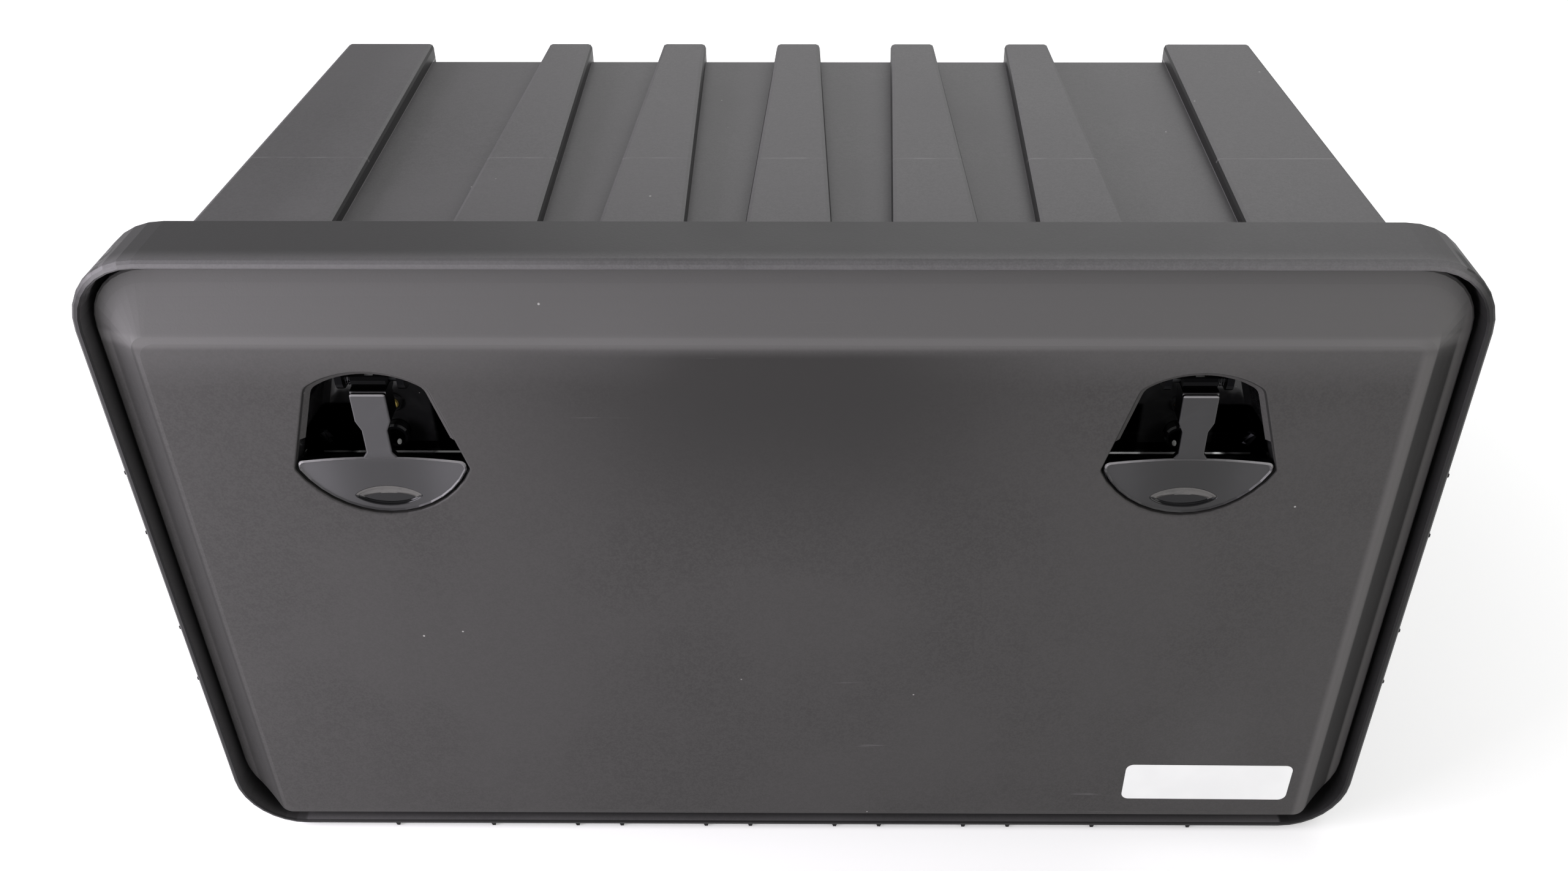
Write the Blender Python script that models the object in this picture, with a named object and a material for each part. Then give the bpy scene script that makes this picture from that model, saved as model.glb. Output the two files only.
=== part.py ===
"""Underbody truck tool box: a ribbed moulded tub with a collar, a drop-down door and two latches.

Metres, +Z up. X runs to the right, Y runs from the door towards the back, and the origin is
under the middle of the box, on the surface that it stands on.
"""
from math import asin, cos, pi, radians, sin, sqrt

import bmesh
import bpy
from mathutils import Matrix, Vector

# Overall sizes of the moulded box
WIDTH = 0.750
COLLAR_HEIGHT = 0.430
DEPTH = 0.450
TUB_DROP = 0.041

# Collar around the door
COLLAR_DEPTH = 0.047
COLLAR_RADIUS = 0.042
LIP = 0.005
LIP_ROUND = 0.004
FLANGE_THICKNESS = 0.005
RIDGE_HEIGHT = 0.003
RIDGE_WIDTH = 0.005
RIDGE_TIP = 0.002
RIDGE_START = 0.001
SIDE_RIDGE_HEIGHT = 0.0008
COLLAR_BASE = RIDGE_HEIGHT
TUB_HEIGHT = COLLAR_BASE + COLLAR_HEIGHT - TUB_DROP

# Tub walls and ribs; a rib is low and wide at the collar, narrow and high at the back
WALL = 0.004
SIDE_STEP_FRONT = 0.012
SIDE_STEP_BACK = 0.025
RIB_RISE_FRONT = 0.008
RIB_RISE_BACK = 0.011
BACK_RIB_RISE = 0.012
RIB_COUNT = 5
RIB_PITCH = 0.0885
RIB_WIDTH_FRONT = 0.058
RIB_WIDTH_BACK = 0.0332
RIB_ROUND = 0.003
CORNER_RIB_FRONT = 0.091
CORNER_RIB_BACK = 0.066
SIDE_RIB_COUNT = 2
SIDE_RIB_PITCH = 0.117
SIDE_RIB_RISE = 0.022
SIDE_RIB_MIDDLE = TUB_HEIGHT / 2 + SIDE_RIB_RISE
SIDE_RIB_FRONT = 0.043
SIDE_RIB_BACK = 0.030
CORNER_RIB_HEIGHT = 0.055
TUB_RADIUS = 0.020

# Opening of the tub, with the neck that carries the seal
OPENING_SIDE = 0.040
OPENING_HALF = WIDTH / 2 - OPENING_SIDE
OPENING_LOW = 0.036
OPENING_DROP = 0.054
OPENING_TOP = COLLAR_HEIGHT - OPENING_DROP
OPENING_RADIUS = 0.022
NECK_WALL = 0.004
NECK_REACH = 0.016
SEAL_WIDTH = 0.007
SEAL_HEIGHT = 0.0054

# Clearances
GAP = 0.0003
DOOR_GAP = 0.003
OVERRUN = 0.010
WELD = 0.002

# Door panel
DOOR_SKIN = 0.004
DOOR_EDGE_DEPTH = 0.009
DOOR_BOTTOM = 0.013
DOOR_RADIUS = 0.036
DOOR_RADIUS_LOW = 0.041
DOOR_THICKNESS = 0.020
CREASE_SIDE = 0.0275
CREASE_HALF = WIDTH / 2 - CREASE_SIDE
CREASE_DROP = 0.045
CREASE_TOP = COLLAR_HEIGHT - CREASE_DROP
CREASE_RADIUS_TOP = 0.009
CREASE_RADIUS_LOW = 0.007
CREASE_ROUND = 0.004
CREASE_SINK = 0.0007
COVE_STEPS = 5
DOOR_RIB = 0.003
DOOR_RIB_DEPTH = 0.010
DOOR_RIB_COLUMNS = 6
DOOR_RIB_ROWS = 3
DOOR_RIB_LOW = 0.060
DOOR_RIB_DROP = 0.180
DOOR_RIB_TOP = COLLAR_HEIGHT - DOOR_RIB_DROP
DOOR_EDGE_ROUND = 0.0012

# Hinges at the foot of the door
HINGE_DEPTH = 0.011
HINGE_HEIGHT = 0.022
HINGE_SIDE = 0.135
HINGE_SPREAD = WIDTH / 2 - HINGE_SIDE
HINGE_COUNT = 3
KNUCKLE_RADIUS = 0.005
KNUCKLE_HALF = 0.0125
EAR_WIDTH = 0.006
HINGE_PIN_RADIUS = 0.002
HINGE_PIN_HEAD = 0.0035
HINGE_PIN_HEAD_LENGTH = 0.002
BRACKET_PLATE = 0.003
BRACKET_HALF = 0.030
BRACKET_LOW = 0.007
HINGE_NOTCH = 0.003
HINGE_NOTCH_TOP = 0.040

# Latch recess: an arched top, slanting sides and a rounded bottom
LATCH_SIDE = 0.1478
LATCH_SPREAD = WIDTH / 2 - LATCH_SIDE
RECESS_DROP = 0.0664
RECESS_TOP = COLLAR_HEIGHT - RECESS_DROP
RECESS_HEIGHT = 0.0951
RECESS_BOTTOM = RECESS_TOP - RECESS_HEIGHT
RECESS_TOP_ARC = 0.060
RECESS_LOW_ARC = 0.0545
RECESS_HIGH_HALF = 0.034
RECESS_LOW_HALF = 0.049
RECESS_HIGH_LEVEL = 0.0126
RECESS_LOW_LEVEL = 0.0325
RECESS_HIGH_ROUND = 0.008
RECESS_LOW_ROUND = 0.003
RECESS_EDGE_ROUND = 0.0012
RECESS_FLARE = 0.003
FLARE_PLAY = 0.0001
FLARE_RISE = 0.0505
FLARE_FOOT = RECESS_BOTTOM + FLARE_RISE
BOWL_WALL = 0.0025
BOWL_DEPTH = 0.040
BOWL_DRAFT = 0.002
BOWL_FLOOR_ROUND = 0.004
BOWL_FLANGE_HALF = 0.060
BOWL_FLANGE_EDGE = 0.0068
BOWL_FLANGE_ROUND = 0.005
LEDGE_DEPTH = 0.029
LEDGE_RISE = 0.024
LEDGE_CHAMFER = 0.0008
BOSS_RADIUS = 0.006
BOSS_REACH = 0.002
BOLT_RISE = 0.0515
BOLT_HEIGHT = RECESS_BOTTOM + BOLT_RISE
BOLT_RADIUS = 0.0022
BOLT_HEAD = 0.0036
BOLT_HEAD_HEIGHT = 0.002

# Handle: a half-moon paddle, a stem and a hub on a cross pin
PADDLE_FACE = 0.0003
PADDLE_THICKNESS = 0.005
PADDLE_GAP = 0.0014
PADDLE_HALF = 0.0474
PADDLE_RISE = 0.0394
PADDLE_TOP = RECESS_BOTTOM + PADDLE_RISE
PADDLE_TOP_SAG = 0.0033
PADDLE_ROUND = 0.003
PADDLE_RIM = 0.0016
PADDLE_RIM_RISE = 0.0009
NOTCH_HALF = 0.0195
NOTCH_RISE = 0.0072
NOTCH_LIFT = 0.0123
NOTCH_HEIGHT = RECESS_BOTTOM + NOTCH_LIFT
NOTCH_DEPTH = 0.003
STEM_HALF = 0.0072
STEM_TOP_HALF = 0.0099
STEM_LENGTH = 0.0411
STEM_TOP = PADDLE_TOP + STEM_LENGTH
SHOULDER_RISE = 0.0176
SHOULDER_SPAN = 0.006
STEM_SHOULDER_LOW = PADDLE_TOP + SHOULDER_RISE
STEM_SHOULDER_HIGH = STEM_SHOULDER_LOW + SHOULDER_SPAN
FLARE_HEIGHT = 0.003
STEM_FLARE_TOP = PADDLE_TOP + FLARE_HEIGHT
STEM_FLARE_HALF = 0.0106
STEM_ROUND = 0.0015
STEM_EDGE_ROUND = 0.0008
PIVOT_DEPTH = 0.015
PIVOT_DROP = 0.0116
PIVOT_HEIGHT = RECESS_TOP - PIVOT_DROP
PIVOT_RADIUS = 0.0025
HUB_RADIUS = 0.008
HUB_HALF = 0.0095
LUG_RADIUS = 0.006
LUG_WIDTH = 0.004
LUG_INNER = 0.0150
LUG_ROUND = 0.0045
PIVOT_PIN_OVERHANG = 0.001

# Steel hook and the striker that it catches
HOOK_THICKNESS = 0.005
HOOK_SLOT_GAP = 0.0004
HOOK_ARM_HALF = 0.005
HOOK_ARM_RISE = 0.004
HOOK_BEHIND = 0.012
HOOK_NOSE = 0.006
HOOK_RISE = 0.019
HOOK_TIP = PIVOT_HEIGHT + HOOK_RISE
SLOT_HALF = 0.0035
SLOT_DROP = 0.0155
SLOT_RISE = 0.011
SLOT_LOW = PIVOT_HEIGHT - SLOT_DROP
SLOT_TOP = PIVOT_HEIGHT + SLOT_RISE
STRIKER_THICKNESS = 0.002
STRIKER_LEG = 0.003
STRIKER_BEHIND = 0.003
STRIKER_DEPTH = COLLAR_DEPTH + STRIKER_BEHIND
HOOK_REACH = STRIKER_DEPTH + HOOK_BEHIND
STRIKER_LENGTH = 0.022
STRIKER_HALF = 0.015
STRIKER_RISE = 0.012
STRIKER_LOW = PIVOT_HEIGHT + STRIKER_RISE

# Torsion spring on the pivot pin
SPRING_WIRE = 0.0007
SPRING_RADIUS = 0.0042
SPRING_TURNS = 3
SPRING_PITCH = 0.0012
SPRING_STEPS = 12
SPRING_LEG = 0.007

# Key cylinder
LOCK_RISE = 0.0325
LOCK_HEIGHT = RECESS_BOTTOM + LOCK_RISE
LOCK_RADIUS = 0.0068
LOCK_BEZEL_RADIUS = 0.0079
LOCK_BEZEL_LENGTH = 0.003
LOCK_FACE = 0.032
LOCK_END = 0.052
PLUG_RADIUS = 0.005
PLUG_PROUD = 0.0006
KEYWAY_WIDTH = 0.0012
KEYWAY_HEIGHT = 0.0062
KEYWAY_DEPTH = 0.006
LOCK_NUT_HALF = 0.0105
LOCK_NUT_THICKNESS = 0.004
CAM_THICKNESS = 0.002
CAM_LENGTH = 0.015
CAM_HALF = 0.004
CAM_ROUND = 0.0055
CAM_SCREW_RADIUS = 0.003
CAM_SCREW_HEIGHT = 0.0016

# Fineness of round shapes, as counts
CORNER_STEPS = 8
ARC_STEPS = 14
SMALL_STEPS = 3
ROUND_SIDES = 24
SMALL_SIDES = 16
WIRE_SIDES = 6
SHADE_ANGLE = radians(32)
ROUND_SHARE = 0.5
NEAR_SHARE = 0.3

# Finishes: colour, roughness, metallic
BLACK_MOULDING = ((0.105, 0.102, 0.105), 0.62, 0.0)
GLOSS_BLACK = ((0.012, 0.012, 0.014), 0.12, 0.0)
SATIN_BLACK = ((0.115, 0.113, 0.120), 0.38, 0.0)
RUBBER = ((0.020, 0.020, 0.021), 0.75, 0.0)
STEEL = ((0.55, 0.55, 0.56), 0.30, 1.0)
SPRING_STEEL = ((0.42, 0.42, 0.44), 0.28, 1.0)
BRASS = ((0.78, 0.56, 0.20), 0.25, 1.0)
YELLOW_ZINC = ((0.62, 0.48, 0.16), 0.30, 1.0)
ZINC = ((0.060, 0.060, 0.065), 0.35, 0.6)

FRONT = -DEPTH / 2
SIDES = (("left", -1), ("right", 1))
ALONG_X = (1, 0, 0)
ALONG_Y = (0, 1, 0)
ALONG_Z = (0, 0, 1)


def deep(distance):
    """Y of a place that lies this far behind the collar's front face."""
    return FRONT + distance


def high(distance):
    """Z of a place that lies this far above the collar's bottom edge."""
    return COLLAR_BASE + distance


def clear_scene():
    for item in list(bpy.data.objects):
        bpy.data.objects.remove(item, do_unlink=True)


def finish(piece, look):
    """Give a piece its own Principled material and smooth shading."""
    colour, roughness, metallic = look
    material = bpy.data.materials.new(piece.name)
    material.use_nodes = True
    shader = material.node_tree.nodes["Principled BSDF"]
    shader.inputs["Base Color"].default_value = (*colour, 1.0)
    shader.inputs["Roughness"].default_value = roughness
    shader.inputs["Metallic"].default_value = metallic
    material.diffuse_color = (*colour, 1.0)
    piece.data.materials.clear()
    piece.data.materials.append(material)
    piece.data.shade_smooth()
    piece.data.set_sharp_from_angle(angle=SHADE_ANGLE)
    return piece


def from_bmesh(name, shape):
    bmesh.ops.recalc_face_normals(shape, faces=shape.faces)
    mesh = bpy.data.meshes.new(name)
    shape.to_mesh(mesh)
    shape.free()
    piece = bpy.data.objects.new(name, mesh)
    bpy.context.collection.objects.link(piece)
    return piece


def loft(name, loops, ring=False):
    """Join loops of equally many points into one solid; a ring closes on its first loop."""
    shape = bmesh.new()
    rows = [[shape.verts.new(point) for point in loop] for loop in loops]
    pairs = list(zip(rows, rows[1:]))
    if ring:
        pairs.append((rows[-1], rows[0]))
    else:
        shape.faces.new(rows[0])
        shape.faces.new(list(reversed(rows[-1])))
    for first, second in pairs:
        count = len(first)
        for index in range(count):
            after = (index + 1) % count
            shape.faces.new((first[index], second[index], second[after], first[after]))
    return from_bmesh(name, shape)


def at_depth(outline, y):
    """Stand an outline of (x, z) points upright at one Y."""
    return [(x, y, z) for x, z in outline]


def plate(name, outline, y_front, y_back):
    """A flat piece with an upright outline."""
    return loft(name, [at_depth(outline, y_front), at_depth(outline, y_back)])


def side_plate(name, outline, x_low, x_high):
    """A flat piece whose outline of (y, z) points faces sideways."""
    loops = [[(x, y, z) for y, z in outline] for x in (x_low, x_high)]
    return loft(name, loops)


def rounded(corners, steps):
    """Points of a closed outline whose corners (a, b, radius) are rounded in the given steps."""
    outline = []
    count = len(corners)
    for index, (a, b, radius) in enumerate(corners):
        here = Vector((a, b))
        if radius == 0:
            outline.append(here)
            continue
        before = (Vector(corners[index - 1][:2]) - here).normalized()
        after = (Vector(corners[(index + 1) % count][:2]) - here).normalized()
        half = before.angle(after) / 2
        reach = radius / sin(half)
        centre = here + (before + after).normalized() * reach
        start = here + before * sqrt(reach * reach - radius * radius) - centre
        turn = pi - 2 * half
        if before.x * after.y - before.y * after.x > 0:
            turn = -turn
        for step in range(steps + 1):
            angle = turn * step / steps
            outline.append(centre + Vector((start.x * cos(angle) - start.y * sin(angle),
                                            start.x * sin(angle) + start.y * cos(angle))))
    return [(point.x, point.y) for point in outline]


def rectangle(half, low, top, radius_low, radius_top, steps=CORNER_STEPS):
    """A rounded rectangle, symmetric about X = 0."""
    corners = [(-half, low, radius_low), (half, low, radius_low),
               (half, top, radius_top), (-half, top, radius_top)]
    return rounded(corners, steps)


def moved(outline, x, z=0):
    return [(a + x, b + z) for a, b in outline]


def block(name, low, top):
    """A plain box between two corners."""
    outline = [(low[0], low[2]), (top[0], low[2]), (top[0], top[2]), (low[0], top[2])]
    return plate(name, outline, low[1], top[1])


def rod(name, radius, start, length, axis, sides=ROUND_SIDES, tip_radius=None):
    """A round bar from a start point along one axis, with an optional other radius at its end."""
    far = radius if tip_radius is None else tip_radius
    direction = Vector(axis)
    across = Vector((axis[1], axis[2], axis[0]))
    other = direction.cross(across)
    loops = []
    for size, travel in ((radius, 0), (far, length)):
        centre = Vector(start) + direction * travel
        loops.append([centre + across * size * cos(2 * pi * k / sides)
                      + other * size * sin(2 * pi * k / sides) for k in range(sides)])
    return loft(name, loops)


def turned(name, profile, centre, axis, sides=ROUND_SIDES):
    """A solid of revolution: profile holds (radius, distance along the axis)."""
    direction = Vector(axis)
    across = Vector((axis[1], axis[2], axis[0]))
    other = direction.cross(across)
    loops = []
    for radius, travel in profile:
        middle = Vector(centre) + direction * travel
        loops.append([middle + across * radius * cos(2 * pi * k / sides)
                      + other * radius * sin(2 * pi * k / sides) for k in range(sides)])
    return loft(name, loops)


def wire(name, points, radius, sides=WIRE_SIDES):
    """A round wire that follows the points as one unbroken tube."""
    places = [Vector(point) for point in points]
    count = len(places)
    normal = None
    loops = []
    for index, place in enumerate(places):
        before = places[max(index - 1, 0)]
        after = places[min(index + 1, count - 1)]
        tangent = (after - before).normalized()
        if normal is None:
            normal = tangent.orthogonal().normalized()
        normal = (normal - tangent * normal.dot(tangent)).normalized()
        other = tangent.cross(normal)
        loops.append([place + normal * radius * cos(2 * pi * k / sides)
                      + other * radius * sin(2 * pi * k / sides) for k in range(sides)])
    return loft(name, loops)


def settle(piece):
    """Turn a piece's modifiers into its mesh."""
    shape = piece.evaluated_get(bpy.context.evaluated_depsgraph_get())
    mesh = bpy.data.meshes.new_from_object(shape)
    piece.modifiers.clear()
    piece.data = mesh
    return piece


def soften(piece, width, segments=2, angle=radians(50)):
    """Round the edges that turn more sharply than the angle."""
    bevel = piece.modifiers.new("soften", "BEVEL")
    bevel.width = width
    bevel.segments = segments
    bevel.limit_method = "ANGLE"
    bevel.angle_limit = angle
    bevel.use_clamp_overlap = True
    return settle(piece)


def combine(target, others, operation):
    """Join or cut with all the other solids in one step."""
    tools = bpy.data.collections.new("tools")
    for other in others:
        tools.objects.link(other)
    cut = target.modifiers.new("combine", "BOOLEAN")
    cut.operation = operation
    cut.solver = "EXACT"
    cut.operand_type = "COLLECTION"
    cut.collection = tools
    settle(target)
    for other in others:
        bpy.data.objects.remove(other, do_unlink=True)
    bpy.data.collections.remove(tools)
    return target


def join(target, *others):
    return combine(target, others, "UNION")


def cut_out(target, *others):
    return combine(target, others, "DIFFERENCE")


def tapered(name, x_front, x_back, z_front, z_back, y_front, y_back):
    """A block whose section changes evenly from its front end to its back end."""
    loops = []
    for x, z, y in ((x_front, z_front, y_front), (x_back, z_back, y_back)):
        loops.append([(x[0], y, z[0]), (x[1], y, z[0]), (x[1], y, z[1]), (x[0], y, z[1])])
    return loft(name, loops)


# The tub, as an outer form and, shrunk by the wall, as its hollow

def tub_form(name, shrink):
    """Ribbed block of the tub; shrink moves every wall inwards."""
    front = deep(COLLAR_DEPTH - FLANGE_THICKNESS + WELD)
    if shrink:
        front -= WELD
    back = deep(DEPTH) - shrink
    panel_back = deep(DEPTH - BACK_RIB_RISE) - shrink
    low = shrink
    top = TUB_HEIGHT - shrink
    half_front = WIDTH / 2 - SIDE_STEP_FRONT - shrink
    half_back = WIDTH / 2 - SIDE_STEP_BACK - shrink
    core_front = rectangle(half_front - RIB_RISE_FRONT, low + RIB_RISE_FRONT,
                           top - RIB_RISE_FRONT, TUB_RADIUS, TUB_RADIUS, SMALL_STEPS)
    core_back = rectangle(half_back - RIB_RISE_BACK, low + RIB_RISE_BACK,
                          top - RIB_RISE_BACK, TUB_RADIUS, TUB_RADIUS, SMALL_STEPS)
    form = loft(name, [at_depth(core_front, front), at_depth(core_back, panel_back)])
    ribs = []
    for index in range(RIB_COUNT):
        x = (index - (RIB_COUNT - 1) / 2) * RIB_PITCH
        wide = RIB_WIDTH_FRONT / 2 - shrink
        narrow = RIB_WIDTH_BACK / 2 - shrink
        ribs.append(tapered("rib", (x - wide, x + wide), (x - narrow, x + narrow),
                            (low, top), (low, top), front, back))
    for side in (-1, 1):
        edge_front = side * half_front
        edge_back = side * half_back
        inner_front = side * (half_front - CORNER_RIB_FRONT + 2 * shrink)
        inner_back = side * (half_back - CORNER_RIB_BACK + 2 * shrink)
        x_front = sorted((edge_front, inner_front))
        x_back = sorted((edge_back, inner_back))
        tall = CORNER_RIB_HEIGHT - 2 * shrink
        for z in ((low, low + tall), (top - tall, top)):
            ribs.append(tapered("corner_rib", x_front, x_back, z, z, front, back))
        x_post = sorted((side * (half_back - RIB_RISE_BACK - RIB_ROUND), inner_back))
        z_post = (low + RIB_RISE_BACK + RIB_ROUND, top - RIB_RISE_BACK - RIB_ROUND)
        ribs.append(tapered("back_post", x_post, x_post, z_post, z_post,
                            panel_back - CORNER_RIB_HEIGHT, back))
    for index in range(SIDE_RIB_COUNT):
        z = SIDE_RIB_MIDDLE + (index - (SIDE_RIB_COUNT - 1) / 2) * SIDE_RIB_PITCH
        wide = SIDE_RIB_FRONT / 2 - shrink
        narrow = SIDE_RIB_BACK / 2 - shrink
        ribs.append(tapered("side_rib", (-half_front, half_front), (-half_back, half_back),
                            (z - wide, z + wide), (z - narrow, z + narrow),
                            front, panel_back - RIB_ROUND))
    if not shrink:
        for rib in ribs:
            soften(rib, RIB_ROUND)
    return join(form, *ribs)


def collar_outline(inset):
    return rectangle(WIDTH / 2 - inset, high(inset), high(COLLAR_HEIGHT - inset),
                     COLLAR_RADIUS - inset, COLLAR_RADIUS - inset)


def opening_outline(outset):
    return rectangle(OPENING_HALF + outset, high(OPENING_LOW - outset),
                     high(OPENING_TOP + outset), OPENING_RADIUS + outset,
                     OPENING_RADIUS + outset)


def collar():
    """The collar, its flange and the neck around the opening, as one turned-over section."""
    flange_front = deep(COLLAR_DEPTH - FLANGE_THICKNESS)
    neck_front = flange_front - NECK_REACH
    steps = [(0, deep(COLLAR_DEPTH)), (0, deep(LIP_ROUND))]
    for step in (1, 2):
        angle = pi / 2 * step / 3
        steps.append((LIP_ROUND * (1 - cos(angle)), deep(LIP_ROUND * (1 - sin(angle)))))
    steps += [(LIP_ROUND, FRONT), (LIP, deep(LIP - LIP_ROUND)), (LIP, flange_front)]
    loops = [at_depth(collar_outline(inset), y) for inset, y in steps]
    loops.append(at_depth(opening_outline(NECK_WALL), flange_front))
    loops.append(at_depth(opening_outline(NECK_WALL), neck_front))
    loops.append(at_depth(opening_outline(0), neck_front))
    loops.append(at_depth(opening_outline(0), deep(COLLAR_DEPTH)))
    return loft("collar", loops, ring=True)


def ridge(x, z, outward, height):
    """A low rib along the outside of the collar, in line with a rib of the tub."""
    base = RIDGE_WIDTH / 2
    tip = RIDGE_TIP / 2
    if outward == 0:
        outline = [(x - base, z + WELD), (x - tip, z - height),
                   (x + tip, z - height), (x + base, z + WELD)]
    else:
        out = outward * height
        sink = -outward * WELD
        outline = [(x + sink, z - base), (x + out, z - tip),
                   (x + out, z + tip), (x + sink, z + base)]
    return plate("ridge", outline, deep(LIP_ROUND * ROUND_SHARE + RIDGE_START),
                 deep(COLLAR_DEPTH - WELD))


def ridges():
    found = []
    half = WIDTH / 2
    edge = half - SIDE_STEP_FRONT - CORNER_RIB_FRONT
    places = [-edge, edge]
    for index in range(RIB_COUNT):
        x = (index - (RIB_COUNT - 1) / 2) * RIB_PITCH
        places += [x - RIB_WIDTH_FRONT / 2, x + RIB_WIDTH_FRONT / 2]
    for x in places:
        found.append(ridge(x, COLLAR_BASE, 0, RIDGE_HEIGHT))
    for index in range(SIDE_RIB_COUNT):
        z = SIDE_RIB_MIDDLE + (index - (SIDE_RIB_COUNT - 1) / 2) * SIDE_RIB_PITCH
        for edge in (z - SIDE_RIB_FRONT / 2, z + SIDE_RIB_FRONT / 2):
            for side in (-1, 1):
                found.append(ridge(side * half, edge, side, SIDE_RIDGE_HEIGHT))
    return found


def hinge_places():
    return [(index - (HINGE_COUNT - 1) / 2) * HINGE_SPREAD for index in range(HINGE_COUNT)]


def ceiling():
    """Z of the inner face of the tub's top wall where the strikers sit."""
    share = (STRIKER_DEPTH - COLLAR_DEPTH) / (DEPTH - BACK_RIB_RISE - WALL - COLLAR_DEPTH)
    drop = RIB_RISE_FRONT + (RIB_RISE_BACK - RIB_RISE_FRONT) * share
    return TUB_HEIGHT - WALL - drop


def build_body_shell():
    shell = tub_form("body_shell", 0)
    cut_out(shell, tub_form("hollow", WALL))
    join(shell, join(collar(), *ridges()))
    return finish(shell, BLACK_MOULDING)


def build_seal():
    """Rubber bulb that sits on the edge of the neck."""
    back = deep(COLLAR_DEPTH - FLANGE_THICKNESS) - NECK_REACH - GAP
    front = back - SEAL_HEIGHT
    middle = (back + front) / 2
    outer = NECK_WALL / 2 + SEAL_WIDTH / 2
    inner = NECK_WALL / 2 - SEAL_WIDTH / 2
    quarter = SEAL_WIDTH / 4
    section = [(outer, back), (outer, middle), (outer - quarter, front),
               (inner + quarter, front), (inner, middle), (inner, back)]
    loops = [at_depth(opening_outline(outset), y) for outset, y in section]
    return finish(loft("opening_seal", loops, ring=True), RUBBER)


# Door

def door_outline(inset):
    half = WIDTH / 2 - LIP - DOOR_GAP - inset
    top = COLLAR_HEIGHT - LIP - DOOR_GAP - inset
    return rectangle(half, high(DOOR_BOTTOM + inset), high(top),
                     DOOR_RADIUS_LOW - inset, DOOR_RADIUS - inset)


def pad_outline(inset):
    return rectangle(CREASE_HALF - inset, high(DOOR_BOTTOM + inset), high(CREASE_TOP - inset),
                     CREASE_RADIUS_LOW, CREASE_RADIUS_TOP)


def between(first, second, share):
    return [(a + (c - a) * share, b + (d - b) * share)
            for (a, b), (c, d) in zip(first, second)]


def cove(pad, edge, y_pad, y_edge, steps):
    """Loops of the hollow curve that falls from the raised pad to the door's edge."""
    loops = []
    for step in range(steps + 1):
        share = step / steps
        fall = (sin(share * pi / 2) + share) / 2
        loops.append(at_depth(between(pad, edge, share), y_pad + (y_edge - y_pad) * fall))
    return loops


def door_tray():
    """The moulded door: raised pad, hollow border and a skirt turned back round the edge."""
    loops = [at_depth(pad_outline(CREASE_ROUND), FRONT)]
    loops += cove(pad_outline(0), door_outline(DOOR_EDGE_ROUND), deep(CREASE_SINK),
                  deep(DOOR_EDGE_DEPTH), COVE_STEPS)
    loops.append(at_depth(door_outline(0), deep(DOOR_EDGE_DEPTH + DOOR_EDGE_ROUND)))
    loops.append(at_depth(door_outline(0), deep(DOOR_THICKNESS)))
    loops.append(at_depth(door_outline(DOOR_SKIN), deep(DOOR_THICKNESS)))
    inner = cove(pad_outline(DOOR_SKIN), door_outline(DOOR_SKIN), deep(DOOR_SKIN),
                 deep(DOOR_SKIN + DOOR_EDGE_DEPTH), COVE_STEPS)
    loops += list(reversed(inner))
    return loft("door_panel", loops)


def door_ribs():
    """Stiffening grid below the latches and the ring that meets the seal."""
    skin = deep(DOOR_SKIN)
    start = skin - WELD
    end = skin + DOOR_RIB_DEPTH
    ribs = []
    ring_middle = NECK_WALL / 2
    seat = deep(COLLAR_DEPTH - FLANGE_THICKNESS) - NECK_REACH - 2 * GAP - SEAL_HEIGHT
    section = [(ring_middle + DOOR_RIB / 2, start), (ring_middle + DOOR_RIB / 2, seat),
               (ring_middle - DOOR_RIB / 2, seat), (ring_middle - DOOR_RIB / 2, start)]
    loops = [at_depth(opening_outline(outset), y) for outset, y in section]
    ribs.append(loft("seal_ring", loops, ring=True))
    inside = OPENING_HALF
    for index in range(DOOR_RIB_COLUMNS):
        share = (index + 1) / (DOOR_RIB_COLUMNS + 1)
        x = -inside + 2 * inside * share
        ribs.append(block("column", (x - DOOR_RIB / 2, start, high(OPENING_LOW)),
                          (x + DOOR_RIB / 2, end, high(DOOR_RIB_TOP))))
    for index in range(DOOR_RIB_ROWS):
        z = DOOR_RIB_LOW + (DOOR_RIB_TOP - DOOR_RIB_LOW) * index / (DOOR_RIB_ROWS - 1)
        ribs.append(block("row", (-inside, start, high(z - DOOR_RIB / 2)),
                          (inside, end - WELD / 2, high(z + DOOR_RIB / 2))))
    return ribs


def recess_corner(side_offset, arc, centre, upward):
    """Where the slanting side meets an arc of the recess outline."""
    run = (RECESS_HIGH_HALF - RECESS_LOW_HALF) / (
        (RECESS_TOP - RECESS_HIGH_LEVEL) - (RECESS_BOTTOM + RECESS_LOW_LEVEL))
    base = RECESS_LOW_HALF - run * (RECESS_BOTTOM + RECESS_LOW_LEVEL)
    base += side_offset * sqrt(1 + run * run)
    a = 1 + run * run
    b = 2 * (run * base - centre)
    c = base * base + centre * centre - arc * arc
    root = sqrt(b * b - 4 * a * c)
    z = (-b + root) / (2 * a) if upward else (-b - root) / (2 * a)
    return run * z + base, z


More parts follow.
